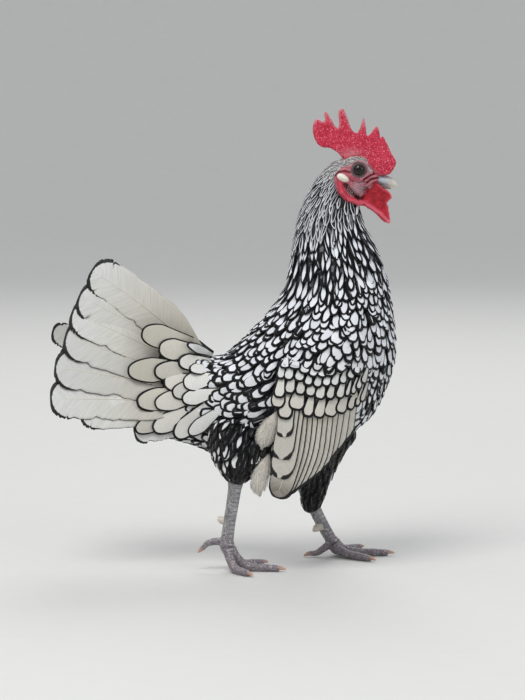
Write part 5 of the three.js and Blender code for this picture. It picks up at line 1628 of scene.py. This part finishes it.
def makeHorn(name, base, tip, dark):
    # Beak: keratin sheath laid down in layers, waxy, bluish at the root and worn ivory at the tip
    material, tree, read = newMaterial(name, "along", Roughness=0.34, IOR=1.54, Specular_IOR_Level=0.5,
                                       Subsurface_Weight=0.08, Subsurface_Scale=0.0015)
    place = addNode(tree, "TexCoord", out="Object")
    layers = addNode(tree, "TexNoise", {"Vector": place, "Scale": 1 / (2.4 * mm), "Detail": 3.0})
    blend = addNode(tree, "MapRange", {0: read["along"], 1: 0.25, 2: 0.85})
    mottled = addNode(tree, "MapRange", {0: layers, 1: 0.35, 2: 0.75, 4: 0.45})
    horn = addNode(tree, "Mix", {0: blend, 6: base, 7: tip}, **rgb)
    return finishMaterial(material, addNode(tree, "Mix", {0: mottled, 6: horn, 7: dark}, **rgb), layers, 0.2)


beakHorn = makeHorn("beakHorn", "#b3bccb", "#e6dcc2", "#8f95a3")
# the lower beak is horn in a darker brown-mauve: painted shade under the upper beak
shadedLowerHorn = makeHorn("shadedLowerBeakHorn", "#6b5557", "#a08c80", "#4c3b3f")
beakRows = {
    "upper": [(103.5, 0, 277.8, 5.0, 2.4), (107, 0, 277.8, 5.2, 2.7), (110.5, 0, 277.3, 4.7, 2.9),
              (114, 0, 276.6, 3.9, 3.1), (117, 0, 275.9, 3.0, 3.2), (119.6, 0, 274.7, 2.1, 2.8),
              (121.6, 0, 273.2, 1.3, 1.9), (122.8, 0, 271.9, 0.6, 0.8), (123, 0, 271.5, 0, 0)],
    "lower": [(103.5, 0, 273.2, 4.2, 1.5), (108, 0, 273, 3.8, 1.5), (112, 0, 272.4, 3.1, 1.4),
              (116, 0, 271.4, 2.2, 1.1), (118.6, 0, 270.9, 1.2, 0.7), (119.6, 0, 270.8, 0, 0)],
}
for (word, rows), horn in zip(beakRows.items(), (beakHorn, shadedLowerHorn)):
    grid = limbGrid(rows, 40, 60)
    if word == "upper":  # culmen ridge, and the slit of each nostril
        culmen = np.interp(grid[..., 0], [104, 117, 123], [280, 279, 272.5])
        grid[..., 2] += 0.45 * np.exp(-(grid[..., 1] / 0.9) ** 2) * smoothStep(-1.5, 0, grid[..., 2] - culmen)
        slit = np.exp(-((grid[..., 0] - 110.4) / 1.6) ** 2 - ((grid[..., 2] - 278.4) / 0.6) ** 2)
        grid[..., 1] *= 1 - 0.3 * slit
    beak = makeMesh(f"beak{word.capitalize()}", grid.reshape(-1, 3), gridFaces(40, 60), [horn],
                    values={"along": np.tile(np.linspace(0, 1, 60), 40)})
    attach(beak, "root")
    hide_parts(f"beak_{word}")
print("beak")

clawHorn = makeHorn("clawHorn", "#a58f86", "#d9a888", "#7d6a66")
spurHorn = makeHorn("spurHorn", "#cec7b9", "#e2dccf", "#a0998d")
claws = {"length": 7.5, "hindLength": 5.5, "radius": 1.9, "drop": 1.6, "around": 20, "along": 24}
for side, word in ((-1, "right"), (1, "left")):
    grids = []
    for toe in toeNames:
        path = np.array(legs[side][toe], float)
        heading = unit(path[-1] - path[-2])
        if toe != "hind":
            heading = unit(heading + (0, 0, 0.12))
        hangs = side < 0 and toe == "hind"  # the right leg's hind toe is off the floor
        start = path[-1] + heading * 0.4 + (0, 0, 0 if hangs else 0.3)
        rows = clawRows(start, heading, 0.2 if hangs else claws["drop"],
                        claws["hindLength" if toe == "hind" else "length"], claws["radius"])
        tilt = (0.5, 1, 0) if toe == "outer" else (0, 1, 0)
        grids.append(limbGrid(rows, claws["around"], claws["along"], side=tilt).reshape(-1, 3))
    points = np.concatenate(grids)
    points[:, 2] = points[:, 2].clip(0.05)
    faces = np.concatenate([gridFaces(claws["around"], claws["along"], k * len(grids[0])) for k in range(4)])
    along = np.tile(np.linspace(0, 1, claws["along"]), claws["around"] * 4)
    piece = makeMesh(f"claws{word.capitalize()}", points, faces, [clawHorn], values={"along": along})
    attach(piece, "root")
    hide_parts(*(f"claw_{toe}_{word}" for toe in toeNames))
    root, middle, tip = np.array(legs[side]["spur"], float)
    rows = [(*root, 2.9, 2.9), (*middle, 2.8, 2.8), (*(tip + (0.6, 0, 0)), 2.2, 2.2),
            (*(tip + (-0.4, 0, 0)), 1.3, 1.3), (*(tip + (-0.8, 0, 0.1)), 0, 0)]
    spur = makeMesh(f"spurHorn{word.capitalize()}", limbGrid(rows, 24, 24).reshape(-1, 3), gridFaces(24, 24),
                    [spurHorn], values={"along": np.tile(np.linspace(0, 1, 24), 24)})
    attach(spur, "root")
    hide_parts(f"spur_{word}")
print("claws and spurs")

# ---- camera, lights, floor
studio = {
    "aim": (27.6, 0, 154.9), "tilt": 5.87, "distance": 2.091, "lens": 150, "sky": "#e9edf2", "skyPower": 0.68,
    "lampAim": (0.02, 0, 0.15),
    "lamps": {  # place in m, size, power, tint
        "keyLight": ((-0.6, -1.1, 2.0), 1.2, 26, "#ffffff"),
        "fillLight": ((1.7, -1.3, 0.9), 1.5, 6, "#f4f7ff"),
        "rimLight": ((0.2, 1.6, 1.6), 1.2, 12, "#ffffff"),
    },
}
aim = (np.array(studio["aim"]) + shift) * mm
tilt = math.radians(studio["tilt"])
camera = bpy.data.objects.new("camera", bpy.data.cameras.new("camera"))
camera.data.lens = studio["lens"]
camera.data.clip_start = 0.05
camera.location = aim + studio["distance"] * np.array([0, -math.cos(tilt), math.sin(tilt)])
camera.rotation_euler = (math.pi / 2 - tilt, 0, 0)
bpy.context.scene.collection.objects.link(camera)
bpy.context.scene.camera = camera
for name, (place, size, power, tint) in studio["lamps"].items():  # soft round lamps
    lamp = bpy.data.lights.new(name, "AREA")
    lamp.shape, lamp.size, lamp.energy = "DISK", size, power
    lamp.color = linear(tint)[:3]
    holder = bpy.data.objects.new(name, lamp)
    holder.location = place
    holder.rotation_euler = (Vector(studio["lampAim"]) - Vector(place)).to_track_quat("-Z", "Y").to_euler()
    bpy.context.scene.collection.objects.link(holder)
world = bpy.data.worlds.new("studio")
world.use_nodes = True
world.node_tree.nodes["Background"].inputs[0].default_value = linear(studio["sky"])
world.node_tree.nodes["Background"].inputs[1].default_value = studio["skyPower"]
bpy.context.scene.world = world
bpy.context.scene.view_settings.view_transform = "Standard"

floorPaint, floorTree, _ = newMaterial("floorPaint", Roughness=0.8)  # matt paint, laid with a roller
stipple = addNode(floorTree, "TexNoise", {"Vector": addNode(floorTree, "TexCoord", out="Object"),
                                          "Scale": 1 / (16.0 * mm), "Detail": 3.0})
finishMaterial(floorPaint, addNode(floorTree, "Mix", {0: stipple, 6: "#d7d6d2", 7: "#dbdad6"}, **rgb))
# a round floor that sweeps up into a backdrop on every side
turn = np.linspace(0, math.pi / 2, 24)
reach = np.concatenate([[1, 400, 1400], 2600 + 1500 * np.sin(turn)])
rise = np.concatenate([[0, 0, 0], 1500 - 1500 * np.cos(turn)])
around = turnOf(96)
bowl = np.stack([reach * np.cos(around), reach * np.sin(around), rise + 0 * around], -1)
floor = makeMesh("floor", bowl.reshape(-1, 3) - shift, gridFaces(96, len(reach)), [floorPaint])

print("studio")
